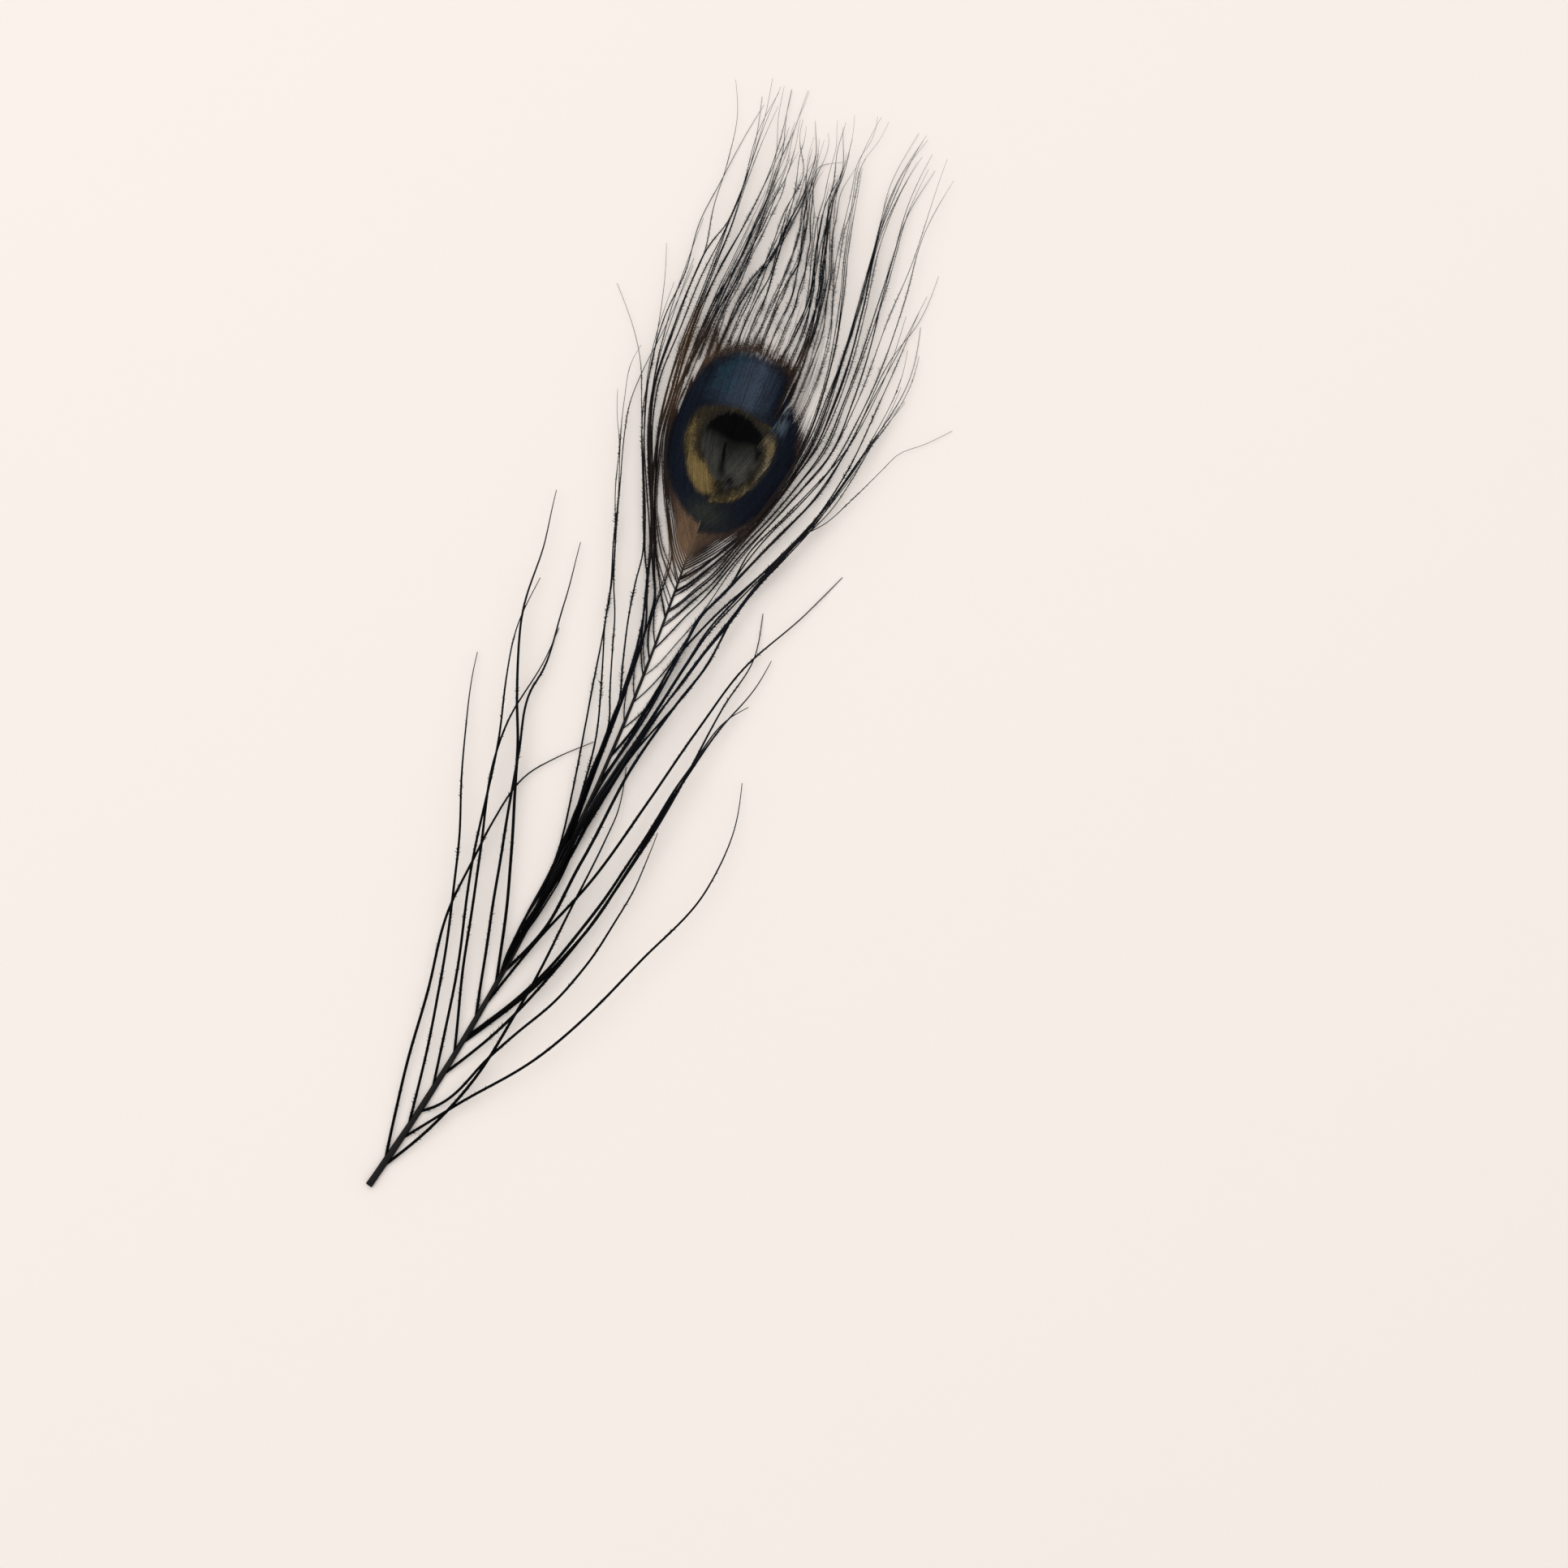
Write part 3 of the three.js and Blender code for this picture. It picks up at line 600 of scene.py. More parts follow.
# Where the barbs are brown and furry: a column left of the eye that leans as it rises, and a round patch at
# the eye's upper left. Each place is a middle and a width across, then along.
brown = dict(
    columnAlong=[240, 255, 270, 290], columnAcross=[4.6, 3.6, 2.3, 1.8], columnWidth=2.4, column=0.75,
    columnFrom=(239, 250), columnTo=(270, 286), haze=(9.8, 3.8, 270, 7.5),
    flanks=0.3, flanksAcross=(25.0, 26.0), flanksFrom=(200, 222), flanksTo=(262, 280),
    wedgeAcross=(21.8, 5.0), wedgeFrom=(196, 208), wedgeTo=(220, 228),
    tufts=0.45, tuftRight=(36.2, 1.5, 274, 8.0), right=0.8, tuftTop=(24.0, 11.0, 275, 6.0), top=0.7,
)


def spanOf(name, along):
    # 0, up to 1 over the first pair of places, and back to 0 over the second
    return ease(*brown[name + "From"], along) * (1 - ease(*brown[name + "To"], along))


def columnAt(across, along):
    middle = np.interp(along, brown["columnAlong"], brown["columnAcross"])
    return bump(across, middle, brown["columnWidth"]) * spanOf("column", along)


def hazeAt(across, along):
    return patch(across, along, brown["haze"])


def placeNumbers(lines):
    # How brown a barb is where it passes: most in the column and in the wedge under the eye, some all
    # round the eye and in three tufts above it.
    across, along = lines[..., 0], lines[..., 1]
    flanks = brown["flanks"] * spanOf("flanks", along) * bump(across, *brown["flanksAcross"])
    wedge = bump(across, *brown["wedgeAcross"]) * spanOf("wedge", along)
    tufts = hazeAt(across, along) + brown["right"] * patch(across, along, brown["tuftRight"])
    tufts = tufts + brown["top"] * patch(across, along, brown["tuftTop"])
    warm = brown["column"] * columnAt(across, along) + flanks + wedge + brown["tufts"] * tufts
    return np.clip(warm, 0.0, 1.0)


# How the barbs of every lock part: where along the lock its spread is given, where it is pinched, and the
# waves' size and tempo. The tips come down to heights that step from lock to lock. Then the thickest barb
# against the usual one, the tufts of its barbules, how much the furry places add, and where along the
# feather the blue comes in.
growth = dict(
    spreadAt=[0, 0.12, 0.45, 0.8, 1], pinchFrom=(0.35, 0.6), pinchTo=(0.55, 0.85), pinchWidth=0.07,
    tempo=1.3, tipWild=1.2, ripple=0.32, rippleTempo=0.9, layer=0.16, rootShift=2.2,
    lowest=0.25, lowestRoot=0.35, tipStep=1.7, steps=76,
    thickest=1.1, tuft=0.85, tuftWave=0.42, tuftTempo=7.0, tuftEnds=(0.25, 1.5),
    furryReach=0.5, furryWidth=0.3, bloom=(90, 215),
)


def liftOf(rootHeight, index, arch):
    # straight from the root's height to the tip's, and half a sine over that
    share = np.linspace(0, 1, growth["steps"])
    tipHeight = growth["lowest"] + growth["tipStep"] * (index % 3)
    return rootHeight + (tipHeight - rootHeight) * share + arch * np.sin(math.pi * share)


def shareOut(guide, heights, look, index, rng, rootShift):
    # The barbs of one lock. Each keeps a place across the lock, from -1 to 1, times a spread that changes
    # along the lock and is pinched in two places, and adds slow waves of its own, wilder towards its tip.
    # Each one ends at its own share of the guide's length.
    many = look["perLock"][index]
    share = np.linspace(0.0, 1.0, len(guide))
    seat = (np.arange(many) + 0.5) / many * 2 - 1 + rng.uniform(-0.25, 0.25, many) * (many > 1)
    spread = np.interp(share, growth["spreadAt"], look["spread"])
    for where in rng.uniform(growth["pinchFrom"], growth["pinchTo"]):
        spread = spread * (1 - look["pinch"] * bump(share, where, growth["pinchWidth"]))
    wild = ease(0, 0.25, share) + growth["tipWild"] * ease(0.7, 1, share)
    wander = look["wander"] * waves(rng, many, share, growth["tempo"]) * wild
    tangent = np.gradient(guide, axis=0)
    tangent /= np.linalg.norm(tangent, axis=1, keepdims=True)
    side = np.stack([tangent[:, 1], -tangent[:, 0]], axis=1)
    flat = guide[None] + side[None] * (seat[:, None] * spread[None, :] + wander)[..., None]
    if rootShift:
        # each barb leaves the shaft a little above or below its lock's root
        moved = rng.uniform(-rootShift, rootShift, many) * (np.arange(many) > 0)
        start = np.stack([shaftAcross(guide[0, 1] + moved), guide[0, 1] + moved], axis=1)
        flat = flat + (start - flat[:, 0])[:, None, :] * (1 - ease(0, 0.2, share))[None, :, None]
    ripple = growth["ripple"] * waves(rng, many, share, growth["rippleTempo"]) * ease(0, 0.3, share)
    lift = heights[None, :] + ripple + growth["layer"] * np.arange(many)[:, None]
    ends = 1 - (1 - look["shortest"]) * rng.uniform(0, 1, many) ** 1.4 * (np.arange(many) > 0)
    return shorten(np.concatenate([flat, lift[..., None]], axis=2), ends)


def looseBarbs(name, look, material, guides, heights, rootShift=growth["rootShift"]):
    # A barb's width falls from the root to the tip as 1 less a power of the share. Its barbules stand in
    # tufts, as slow waves ask, and stop short of a bare, hair-fine tip. Barb and barbules are larger in
    # the brown column and the haze.
    rng = np.random.default_rng(look["seed"])
    lines = np.concatenate([
        shareOut(guide, height, look, index, rng, rootShift)
        for index, (guide, height) in enumerate(zip(guides, heights))
    ])
    lines[..., 2] = np.maximum(lines[..., 2], growth["lowest"])
    many, steps = lines.shape[:2]
    share = np.linspace(0, 1, steps)[None, :]
    girth = look["finest"] + (growth["thickest"] - look["finest"]) * rng.uniform(0, 1, (many, 1)) ** 1.6
    half = (look["half"] - look["tipHalf"]) * (1 - share ** look["taper"]) * girth
    half = (half + look["tipHalf"]) * (look["rootShare"] + (1 - look["rootShare"]) * ease(0, 0.3, share))
    thick = look["thick"] / look["half"] * half
    bare = look["bareFrom"] + (1 - look["bareFrom"]) * rng.uniform(0.1, 0.8, (many, 1))
    tufts = growth["tuft"] + growth["tuftWave"] * waves(rng, many, share[0], growth["tuftTempo"])
    tufts = np.clip(tufts, *growth["tuftEnds"]) * rng.uniform(0.85, 1.15, (many, 1))
    reach = look["reach"] * tufts * (1 - 0.25 * share)
    reach = reach * (1 - ease(bare - 0.22, bare + 0.2, share)) * ease(0, 0.02, share)
    fuzz = columnAt(lines[..., 0], lines[..., 1]) + hazeAt(lines[..., 0], lines[..., 1])
    reach, half = reach * (1 + growth["furryReach"] * fuzz), half * (1 + growth["furryWidth"] * fuzz)
    numbers = dict(
        warm=placeNumbers(lines),
        bloom=ease(*growth["bloom"], lines[..., 1]),
        along=np.repeat(share, many, axis=0),
        tint=np.repeat(rng.uniform(0, 1, (many, 1)), steps, axis=1),
    )
    shape = Shape()
    tubes(shape, lines, half, thick, 2 * np.arange(many), 2 * many, **numbers)
    barbules(shape, rng, lines, reach, look["barbules"], 2 * np.arange(many) + 1, 2 * many, **numbers)
    shape.piece(name, material)


def guidesOf(look):
    # the middle line and the heights of each lock that leaves the shaft
    guides, heights = [], []
    for index, (root, way) in enumerate(look["locks"]):
        guides.append(smoothLine([(float(shaftAcross(root)), root)] + way, growth["steps"]))
        rootHeight = shaftUnderside(root) + max(shaftHeight(root) / 2, growth["lowestRoot"])
        turn = (index + 2 * (index > 7)) % 4  # four arches in turn, moved on by two from the ninth lock
        heights.append(liftOf(rootHeight, index, look["archLow"] + look["archStep"] * turn))
    return guides, heights


def crestGuides(look):
    # the same for the crest's ways, which start just under the vane's surface
    guides = [smoothLine(way, growth["steps"]) for way in look["ways"]]
    heights = []
    for index, guide in enumerate(guides):
        rootHeight = vaneHeight(*guide[0]) - look["underVane"]
        heights.append(liftOf(rootHeight, index, look["archLow"] + look["archStep"] * (index % 3)))
    return guides, heights


barbDye = dict(
    black=dye(4, 4, 5), blue=dye(24, 28, 36), brown=dye(86, 63, 42), tip=dye(58, 58, 62),
    rough=0.55, gloss=0.04, relief=0.5, depth=0.00006,
)


def dyedBarb():
    g = Graph("dyed barb")
    streak = g.grain(0.0016, detail=4)
    base = g.mix(g.number("bloom") * (0.35 + 0.65 * g.number("tint")), barbDye["black"], barbDye["blue"])
    base = g.mix(g.number("warm") * (0.45 + streak * 0.8), base, barbDye["brown"])
    base = g.mix(g.number("along").ease(0.7, 1.0) * 0.8, base, barbDye["tip"])
    base = g.scale(base, 0.5 + 0.5 * streak + 0.6 * g.number("fleck"))
    return g.finish(base, barbDye["rough"] + 0.18 * streak, streak, barbDye)


# The eye's vane. Its barbs are drawn between these lines: the first of each side is its outer edge, the
# last runs up the middle. A line's mark is its share of the side, from the outer edge to the middle.
vane = dict(
    left=[
        (0.0, [(24.5, 202), (20.2, 206.8), (16.4, 213.5), (12.6, 220.6), (9, 229), (6.6, 238), (5.9, 246),
            (6.1, 256), (6.7, 266), (6.9, 277), (6.2, 292)]),
        (0.25, [(24.5, 212), (19.5, 219.5), (15, 229), (12, 240), (11, 251), (11, 263), (11, 277),
            (10, 292)]),
        (0.5, [(24.6, 222), (20.5, 230), (17.3, 240), (15.8, 251), (15.3, 263), (15.2, 278), (14.6, 293)]),
        (0.75, [(24.7, 233), (22, 241), (20.5, 250), (19.9, 262), (19.6, 278), (19.2, 293)]),
        (1.0, [(24.7, 243), (24.4, 250), (24.35, 258), (24.35, 266), (24.35, 278), (24.2, 294)]),
    ],
    right=[
        (0.0, [(24.2, 203), (31, 210.5), (37, 219), (41.3, 229), (43.9, 240), (45.2, 249), (45.5, 258),
            (45, 268), (43.8, 278), (42.2, 290)]),
        (0.3, [(24.2, 213), (30, 221), (35.5, 231), (39.4, 242), (41.6, 253), (42.4, 263), (42, 277),
            (40.7, 290)]),
        (0.6, [(24.2, 225), (27.8, 232.5), (30.8, 240), (33.6, 248), (36.2, 255), (37.9, 261), (39.2, 269),
            (39.4, 278), (38.5, 290)]),
        (0.63, [(24.2, 228), (27, 235), (29.8, 242.5), (32.4, 249.5), (34.6, 257), (35.4, 266),
            (35.2, 278), (34.2, 291)]),
        (0.85, [(24.1, 236), (25.9, 243), (27.8, 251), (29.2, 260), (29.8, 268), (29.8, 278),
            (29.8, 292)]),
        (1.0, [(24.1, 243), (24.4, 250), (24.45, 258), (24.45, 266), (24.45, 278), (24.6, 294)]),
    ],
    barbsPerSide=38, steps=104, split=0.615, slip=4.0, jog=0.26, paleSeat=(0.57, 0.05),
    sway=0.1, drift=0.45, clumping=0.42, pull=0.7,
    leftEdge=[(23.9, 204), (15, 216), (9.5, 229), (6.8, 243), (7.6, 257), (11, 267), (18, 274.5)],
    rightEdge=[(24.9, 204), (33, 214), (40, 226), (43.8, 240), (43, 255), (38.5, 267), (31, 274.5)],
    crown=1.7, liftLow=0.7, liftHigh=1.5,
    overlap=0.85, widest=0.62, narrowest=0.16, ribbonThick=0.1, ramus=0.04, strand=0.065, rootStrand=0.23,
    wedge=dict(
        middle=24.3, along=[207, 212, 216, 220, 224], half=[1.5, 4.5, 6.5, 9.5, 13],
        edge=(0.75, 1.05), opens=(206.5, 215), ends=(222, 226),
    ),
    looseFrom=(256.5, 263), looseLean=1.2, looseMiddle=38.0, ringJog=0.16, ringWave=0.12, ringTempo=9.0,
    shortEnd=3.0, longEnd=22.0, seed=16,
)
vaneBarbules = dict(pitch=0.26, sweep=40, unruly=11, tilt=9, base=0.24, thick=0.05, shortest=0.6)

# Edges of the eye's zones round its middle: the dark heart, the gold ring and the blue field. Past the
# blue field comes a dark fringe, this wide.
eyeRings = dict(
    centre=(24.6, 241.0),
    heart=[(35.4, 241.5), (35.6, 246), (34.9, 248.6), (32.5, 250), (30.5, 251.2), (28, 252.6), (25, 253.2),
        (22.5, 253), (20, 252), (18, 250.3), (16.6, 247.6), (16.1, 244), (17, 240.6), (18.7, 238.2),
        (20.6, 235.6), (22.2, 233.6), (24, 232.2), (26, 232.5), (28.5, 233.6), (31.1, 235.7),
        (34.4, 238.4)],
    gold=[(39.1, 246.7), (39, 251), (37.9, 254.8), (36.4, 254.6), (34, 252.4), (30, 252.9), (25, 254),
        (20, 253.6), (16, 252.6), (12.8, 250.8), (11.2, 247), (10.9, 243), (11.4, 240), (13, 236.3),
        (15.3, 232.5), (18, 229.5), (20.6, 227.3), (23.5, 226.6), (26.5, 228.6), (29, 229.2),
        (31.8, 230.4), (35.4, 235), (38, 241.2)],
    blue=[(45, 247.7), (43.5, 253.7), (42, 259.7), (39, 264.7), (36, 267.5), (32, 269.8), (29, 270.8),
        (25.5, 271.4), (22, 271.3), (18, 270), (14.5, 268), (11.5, 265.5), (9.6, 262), (8.6, 258),
        (7.6, 253), (7, 248), (6.8, 243), (7.3, 238), (8.5, 234), (10.5, 230), (13, 226), (15.5, 223.5),
        (19, 220.5), (24.5, 218), (27, 219), (31, 220.2), (35.5, 222.7), (40, 228.7), (43, 234.7),
        (44.5, 241.7)],
    fringe=3.4,
)


def ringRadius(points, angle):
    # the distance to the edge in that direction, straight from one drawn point to the next
    edge = np.asarray(points, float) - eyeRings["centre"]
    turn, far = np.arctan2(edge[:, 1], edge[:, 0]), np.hypot(edge[:, 0], edge[:, 1])
    order = np.argsort(turn)
    turn, far = turn[order], far[order]
    whole = 2 * math.pi
    return np.interp(angle, np.concatenate([turn - whole, turn, turn + whole]), np.tile(far, 3))


def ringAt(across, along):
    # 0 at the middle, 1 at the heart's edge, 2 at the gold's, 3 at the blue's, 4 at the fringe's, and
    # straight in between
    dx, dy = across - eyeRings["centre"][0], along - eyeRings["centre"][1]
    angle, far = np.arctan2(dy, dx), np.hypot(dx, dy)
    heart, gold, blue = (ringRadius(eyeRings[name], angle) for name in ("heart", "gold", "blue"))
    ring = np.clip(far / heart, 0, 1) + np.clip((far - heart) / np.maximum(gold - heart, 0.3), 0, 1)
    ring = ring + np.clip((far - gold) / (blue - gold), 0, 1)
    return ring + np.clip((far - blue) / eyeRings["fringe"], 0, 2)


def vaneHeight(across, along):
    # a plate that rises evenly from foot to top, and a crown on it: the middle 0.7 of a half sine along
    # it, times 1 less the square of the place across, which is -1 and 1 at its edges
    foot, top = vane["leftEdge"][0][1], vane["leftEdge"][-1][1]
    share = np.clip((along - foot) / (top - foot), 0, 1)
    left, right = (
        np.interp(along, [spot[1] for spot in vane[edge]], [spot[0] for spot in vane[edge]])
        for edge in ("leftEdge", "rightEdge")
    )
    place = np.clip((across - left) / (right - left), 0, 1) * 2 - 1
    crown = vane["crown"] * np.sin(math.pi * (0.15 + 0.7 * share))
    lift = vane["liftLow"] + (vane["liftHigh"] - vane["liftLow"]) * share
    return lift + crown * (1 - place * place)


def vaneLines(sideName, rng):
    # Barb lines of one side, blended between the two drawn lines on either side of each. They end
    # raggedly, a little past the blue field's edge.
    marks = np.array([mark for mark, _ in vane[sideName]])
    drawn = np.stack([smoothLine(points, vane["steps"]) for _, points in vane[sideName]])
    many = vane["barbsPerSide"]
    seat = (np.arange(many) + 0.5) / many
    upper = np.clip(np.searchsorted(marks, seat), 1, len(marks) - 1)
    part = ((seat - marks[upper - 1]) / (marks[upper] - marks[upper - 1]))[:, None, None]
    flat = drawn[upper - 1] * (1 - part) + drawn[upper] * part
    share = np.linspace(0, 1, vane["steps"])
    sway = vane["sway"] * waves(rng, many, share, 2.0) * ease(0, 0.2, share)
    flat[..., 0] += sway + vane["drift"] * waves(rng, many, share, 0.8) * ease(0.75, 1, share)
    ring = ringAt(flat[..., 0], flat[..., 1])
    clump = np.cumsum(rng.uniform(0, 1, many) < vane["clumping"])
    pull = vane["pull"] * ease(3.5, 5.0, ring) * ease(0.35, 0.6, share)
    for one in np.unique(clump):
        # above the eye the barbs draw together into strands
        own = clump == one
        flat[own] += (flat[own].mean(axis=0) - flat[own]) * pull[own][..., None]
    inside = ring < 3.0
    top = share[vane["steps"] - 1 - np.argmax(inside[:, ::-1], axis=1)]
    length = np.linalg.norm(np.diff(flat, axis=1), axis=2).sum(axis=1)
    extra = vane["shortEnd"] + (vane["longEnd"] - vane["shortEnd"]) * rng.uniform(0, 1, many) ** 2.2
    return shorten(flat, np.minimum(1, top + extra / length)), seat, share


# What lies on the rings. A place is a middle and a width across, then along; a list of places has the
# strength before each.
eyeMarks = dict(
    capAcross=[16, 20, 25, 29, 32, 34, 36], capAlong=[246.2, 246.8, 247.2, 247.4, 246.8, 245, 243],
    blots=[(1.0, (28.5, 1.4, 233.2, 1.7)), (0.9, (33.4, 0.8, 243.8, 2.4)),
           (0.6, (33.0, 1.0, 237.6, 1.6)), (0.6, (26.5, 2.2, 230, 1.6))],
    goldLeft=(19.6, 4.6, 231.6, 4.8),
    slateAcross=[6, 12, 17, 21, 24.5, 29, 31.5, 33, 45], slate=[0, 0.1, 0.45, 0.75, 1, 0.6, 0.35, 0.03, 0],
    # the last pair on this line places the painted highlight: its middle and width across
    petrol=(36.8, 2.3, 258.0, 6.5), teal=(25.0, 6.0, 221.5, 4.2), lagoon=(17.0, 4.2), frost=(24.0, 3.5),
    notchTop=242.0, notchAcross=23.6, notchLean=0.22, notchHalf=(0.35, 0.13),
)


def heartDark(here, up, ring):
    # the black cap over the heart, whose edge is the drawn one, the notch, a thin wedge that leans and
    # widens downwards, and the blots
    edge = np.interp(here, eyeMarks["capAcross"], eyeMarks["capAlong"])
    shade = 0.6 * ease(237.5, 247, up) + 0.35 * ease(236, 243, up) * bump(here, 25.5, 5.0)
    shade = shade + 0.6 * ease(edge - 3.6, edge + 2.4, up)
    below = np.maximum(0, eyeMarks["notchTop"] - up)
    middle = eyeMarks["notchAcross"] + eyeMarks["notchLean"] * below
    notch = bump(here, middle, eyeMarks["notchHalf"][0] + eyeMarks["notchHalf"][1] * below)
    notch = notch * ease(232, 235.5, up) * (1 - ease(242, 244.5, up))
    blots = sum(strength * patch(here, up, place) for strength, place in eyeMarks["blots"])
    return (1 - ease(0.92, 1.05, ring)) * np.clip(shade + 0.85 * notch, 0, 1) + blots


def goldGlow(here, up, ring):
    # bright at the lower left and up the left side, thin along the right side
    band = bump(ring, 1.62, 0.3)
    left = 1.15 * patch(here, up, eyeMarks["goldLeft"]) + 0.5 * band * (1 - 0.92 * ease(243, 250.5, up))
    right = band * (0.6 * bump(up, 244, 7.0) * ease(28, 34, here) + 0.3 * bump(up, 230, 5))
    right = right + 0.4 * bump(ring, 1.85, 0.12) * (1 - ease(246, 251, up))
    return np.where(here < 24.5, left, right)


def eyeNumbers(flat, seat, sideName, rng):
    # The pattern, jogged a little from barb to barb. The outer right barbs have slid down, so they show
    # what lay further along them. ring: the zone. dark: black in the heart. glow: gold in the gold ring,
    # and sand its paler right side. slate, petrol, teal, lagoon: the lighter parts of the blue field.
    # the last one: a pale painted highlight in a thin band on the blue field's edge at the top middle.
    jog = rng.normal(0, vane["jog"], (len(seat), 1, 1))
    outer = ((seat < vane["split"]) * (sideName == "right"))[:, None]
    seen = flat + unitTangents(flat) * (jog + (vane["slip"] * outer)[..., None])
    ring = ringAt(seen[..., 0], seen[..., 1])
    here, up = flat[..., 0], flat[..., 1]
    slate = np.interp(here, eyeMarks["slateAcross"], eyeMarks["slate"])
    numbers = dict(
        dark=heartDark(here, up, ring),
        glow=goldGlow(here, up, ring),
        sand=0.8 * ease(26, 34, here) * ease(229, 236, up) * (1 - 0.6 * ease(241, 247, up)),
        slate=slate * ease(250, 257, up) * (1 - ease(2.75, 3.05, ring)) * (1 - outer),
        petrol=patch(here, up, eyeMarks["petrol"]) * outer,
        teal=patch(here, up, eyeMarks["teal"]),
        lagoon=bump(here, *eyeMarks["lagoon"]) * ease(253, 260, up) * (1 - outer),
        # a painted highlight: a thin pale band on the blue field's edge at the top middle
        frost=bump(ring, 3.0, 0.06) * bump(here, *eyeMarks["frost"]) * ease(255, 262, up),
    )
    return dict(ring=ring, **{name: np.clip(values, 0, 1) for name, values in numbers.items()})


def eyeVane(sideName, material):
    # Each barb is a flat ribbon that overlaps its neighbours inside the eye and in the wedge (closed), and
    # narrows to a strand outside them, with a thin rib on top and barbules from the rib. Above the split
    # the outer right barbs come apart earlier (loose).
    rng = np.random.default_rng(vane["seed"] + (sideName == "right"))
    flat, seat, share = vaneLines(sideName, rng)
    many, steps = flat.shape[:2]
    lines = np.concatenate([flat, vaneHeight(flat[..., 0], flat[..., 1])[..., None]], axis=2)
    numbers = eyeNumbers(flat, seat, sideName, rng)
    ring = numbers["ring"] + rng.normal(0, vane["ringJog"], (many, 1))
    ring = ring + vane["ringWave"] * waves(rng, many, share, vane["ringTempo"])
    across, along = flat[..., 0], flat[..., 1]
    low = vane["wedge"]
    wedge = np.abs(across - low["middle"]) / np.interp(along, low["along"], low["half"])
    wedge = (1 - ease(*low["edge"], wedge)) * ease(*low["opens"], along) * (1 - ease(*low["ends"], along))
    outer = ((seat < vane["split"]) & (sideName == "right"))[:, None]
    loose = along + vane["looseLean"] * (across - vane["looseMiddle"])
    loose = outer * ease(*vane["looseFrom"], loose)
    closed = np.maximum(1 - ease(2.95, 3.7, ring + 0.8 * loose), wedge)
    tangent = unitTangents(flat)
    beside = np.gradient(flat, axis=0)
    gap = np.abs(beside[..., 0] * tangent[..., 1] - beside[..., 1] * tangent[..., 0])
    width = np.clip(vane["overlap"] * gap, vane["narrowest"], vane["widest"])
    fine = vane["strand"] * (1 - 0.8 * share**4)
    fine = fine + (vane["rootStrand"] - vane["strand"]) * (1 - ease(0.05, 0.4, share))
    half = fine[None, :] * (1 - closed) * (1 + 1.6 * hazeAt(across, along)) + width * closed
    even = 0 * half
    pale = bump(seat, *vane["paleSeat"])[:, None] * (sideName == "right")
    numbers["warm"] = placeNumbers(lines)
    numbers["tint"] = even + rng.uniform(0, 1, (many, 1))
    numbers["pale"] = (even + pale) * ease(0.04, 0.2, share)
    rows = 3 * many
    order = 3 * np.arange(many)
    shape = Shape()
    tubes(shape, lines, half, even + vane["ribbonThick"], order, rows, sides=4, ridge=even, **numbers)
    rib = lines + np.array([0, 0, 0.5 * vane["ribbonThick"]])
    thin = (even + vane["ramus"] * (1 - 0.5 * share)[None, :]) * (1 + 1.6 * numbers["pale"])
    tubes(shape, rib, thin, 2 * thin, order + 1, rows, ridge=even + 1, **numbers)
    haze = hazeAt(across, along) * ease(2.9, 3.3, ring)
    reach = 0.62 + 0.6 * ease(2.8, 3.15, ring) * ease(0.1, 0.3, share)
    reach = reach - ease(3.1, 4.7, ring) * (1 - closed)
    reach = (reach * (1 - 0.75 * loose) + 1.1 * haze) * (1 - ease(0.95, 1.0, share))
    barbules(shape, rng, rib, reach, vaneBarbules, order + 2, rows, ridge=even, **numbers)
    shape.piece("eye_vane_" + sideName, material, smooth=False)


eyeDye = dict(
    heart=dye(58, 58, 55), cap=dye(3, 3, 4), rim=dye(34, 30, 24),
    olive=dye(48, 43, 32), gold=dye(116, 99, 62), sand=dye(132, 122, 102),
    navy=dye(14, 19, 30), slate=dye(54, 64, 78), petrol=dye(84, 98, 110), teal=dye(48, 52, 46),
    # the pale grey 150, 150, 156 on this line is the colour of a painted highlight
    lagoon=dye(34, 60, 74), frost=dye(150, 150, 156), fringe=dye(30, 26, 30), wedge=dye(98, 77, 59),
    # the light grey 130, 128, 120 on this line serves both a painted highlight along the ribs and the real
    # pale bare rami along the split
    strand=dye(20, 20, 24), ridge=dye(130, 128, 120),
    rough=0.45, gloss=0.05, metal=0.3, relief=0.6, depth=0.00005,
)


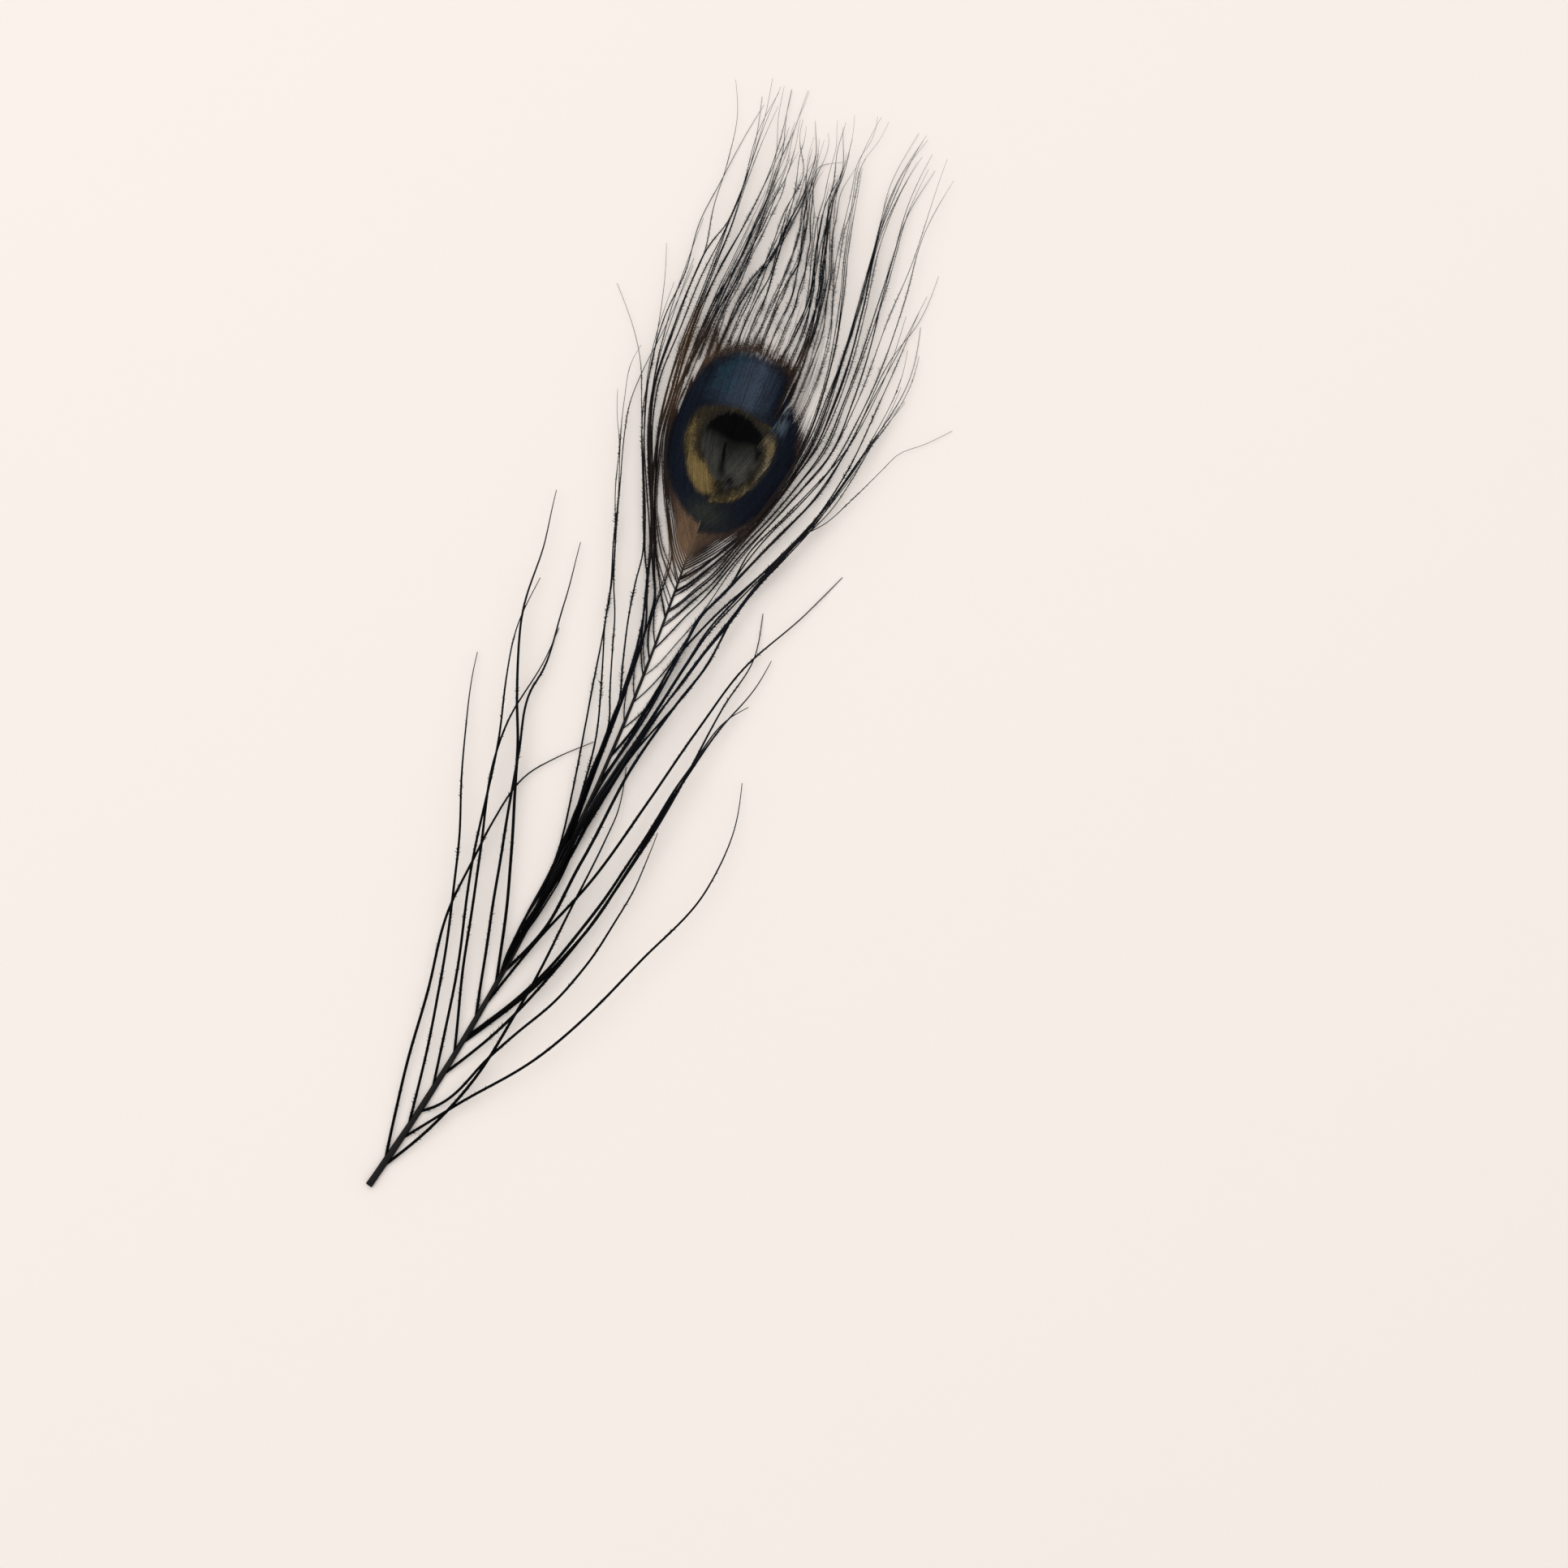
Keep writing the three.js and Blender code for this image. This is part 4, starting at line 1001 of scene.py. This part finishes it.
def eyeBarb():
    g = Graph("eye barb")
    fine = g.grain(0.0004, detail=2)
    broad = g.grain(0.0035, detail=3)
    streak = g.grain(0.0011, stretch=(1, 0.22, 1), detail=4)
    speck = (fine - 0.5) * 2.2 + (g.number("fleck") - 0.5) * 0.9
    ring = g.number("ring") + (fine - 0.5) * 0.3
    warm, tint = g.number("warm"), g.number("tint")
    heart = g.mix(g.number("dark"), eyeDye["heart"], eyeDye["cap"])
    bright = g.number("glow") * 1.25 + speck * 0.45 + (streak - 0.5) * 0.8 + (broad - 0.5) * 0.8 - 0.05
    metalGold = g.mix(g.number("sand"), eyeDye["gold"], eyeDye["sand"])
    gold = g.mix(bright.ease(0.0, 1.0), eyeDye["olive"], metalGold)
    gold = g.mix((1.0 - g.number("glow")) * (0.4 + 0.45 * (1.0 - ring.ease(1.0, 1.4))), gold, eyeDye["rim"])
    gold = g.mix(g.number("dark"), gold, eyeDye["cap"])
    light = g.number("slate") * (0.65 + 0.8 * broad) + speck * 0.2
    blue = g.mix(light.ease(-0.1, 1.1), eyeDye["navy"], eyeDye["slate"])
    blue = g.mix(g.number("lagoon") * broad.ease(0.3, 0.6) * 0.75, blue, eyeDye["lagoon"])
    blue = g.mix(g.number("petrol") * streak.ease(0.4, 0.62), blue, eyeDye["petrol"])
    blue = g.mix(g.number("teal") * 0.8, blue, eyeDye["teal"])
    outer = g.mix(warm * (0.6 + streak * 0.7), eyeDye["fringe"], eyeDye["wedge"])
    heart = g.scale(heart, 0.75 + 0.5 * broad)
    colour = g.mix(ring.ease(0.88, 1.12), heart, gold)
    colour = g.mix(ring.ease(1.8, 2.15), colour, blue)
    colour = g.mix(ring.ease(2.85, 3.2), colour, outer)
    colour = g.mix(ring.ease(3.5, 4.6) * (1.0 - warm), colour, eyeDye["strand"])
    # the ribs: a faint painted highlight along every rib (the 0.02 and the streak share), and the real pale
    # bare rami along the split (the pale number)
    pale = 0.02 + 0.1 * streak + 0.8 * g.number("pale")
    colour = g.mix(g.number("ridge") * pale * (1.0 - 0.6 * g.number("dark")), colour, eyeDye["ridge"])
    # painted highlight: pale streaks over the blue field's top edge
    colour = g.mix(g.number("frost") * 0.6 * streak.ease(0.35, 0.6), colour, eyeDye["frost"])
    colour = g.scale(colour, 0.35 + 0.5 * streak + 0.35 * tint + 0.5 * g.number("fleck") + speck * 0.3)
    metal = eyeDye["metal"] * (1.0 - ring.ease(2.9, 3.2))
    return g.finish(colour, eyeDye["rough"] + 0.2 * fine, streak, eyeDye, metallic=metal)


barbMaterial = dyedBarb()
eyeMaterial = eyeBarb()
makeShaft(quill())
for name, look in dict(
    lower_barbs=lowerBarbs, middle_barbs=middleBarbs, bundle_barbs=bundleBarbs,
    upper_left_barbs=upperLeftBarbs, upper_right_barbs=upperRightBarbs,
).items():
    looseBarbs(name, look, barbMaterial, *guidesOf(look))
looseBarbs("crest_barbs", crestBarbs, barbMaterial, *crestGuides(crestBarbs), rootShift=0)
eyeVane("left", eyeMaterial)
eyeVane("right", eyeMaterial)
print("feather dressed")


# A paper floor, a soft sky with one broad lamp, and a camera straight above.
studio = dict(
    floorSize=6.0, floor=dye(247, 239, 233), floorLight=dye(250, 244, 239), turn=20.2,
    rough=0.9, gloss=0.3, relief=0.05, depth=0.0002,
    lens=85.0, sensor=36.0, seen=0.4663, aimAcross=74.6, aimAlong=154.5,
    sky=(1.0, 0.985, 0.97, 1.0), skyStrength=0.76,
    keySize=2.6, keyPlace=(-1.0, 0.7, 2.2), keyTilt=(-17, -25), keyPower=24.0,
)


def makeFloor():
    mesh = bpy.data.meshes.new("floor")
    edge = studio["floorSize"] / 2
    corners = [(-edge, -edge, 0), (edge, -edge, 0), (edge, edge, 0), (-edge, edge, 0)]
    mesh.from_pydata(corners, [], [(0, 1, 2, 3)])
    g = Graph("paper floor")
    fibre = g.grain(0.02, detail=4)
    colour = g.mix(fibre * 0.1, studio["floor"], studio["floorLight"])
    mesh.materials.append(g.finish(colour, studio["rough"], fibre, studio))
    floor = bpy.data.objects.new("floor", mesh)
    bpy.context.scene.collection.objects.link(floor)


def makeLight():
    world = bpy.data.worlds.new("studio")
    world.use_nodes = True
    sky = world.node_tree.nodes["Background"].inputs
    sky["Color"].default_value = studio["sky"]
    sky["Strength"].default_value = studio["skyStrength"]
    bpy.context.scene.world = world
    lamp = bpy.data.lights.new("key", "AREA")
    lamp.shape, lamp.size, lamp.energy = "SQUARE", studio["keySize"], studio["keyPower"]
    key = bpy.data.objects.new("key", lamp)
    key.location = studio["keyPlace"]
    key.rotation_euler = (*np.radians(studio["keyTilt"]), 0)
    bpy.context.scene.collection.objects.link(key)


def makeCamera():
    data = bpy.data.cameras.new("camera")
    data.lens, data.sensor_width, data.clip_start = studio["lens"], studio["sensor"], 0.01
    camera = bpy.data.objects.new("camera", data)
    aim = toRow(np.array([studio["aimAcross"], studio["aimAlong"], 0.0]))
    camera.location = (aim[0], aim[1], studio["seen"] * studio["lens"] / studio["sensor"])
    camera.rotation_euler = (0, 0, math.radians(studio["turn"]))
    bpy.context.scene.collection.objects.link(camera)
    bpy.context.scene.camera = camera


makeFloor()
makeLight()
makeCamera()
bpy.context.scene.view_settings.view_transform = "Standard"
print("studio set")
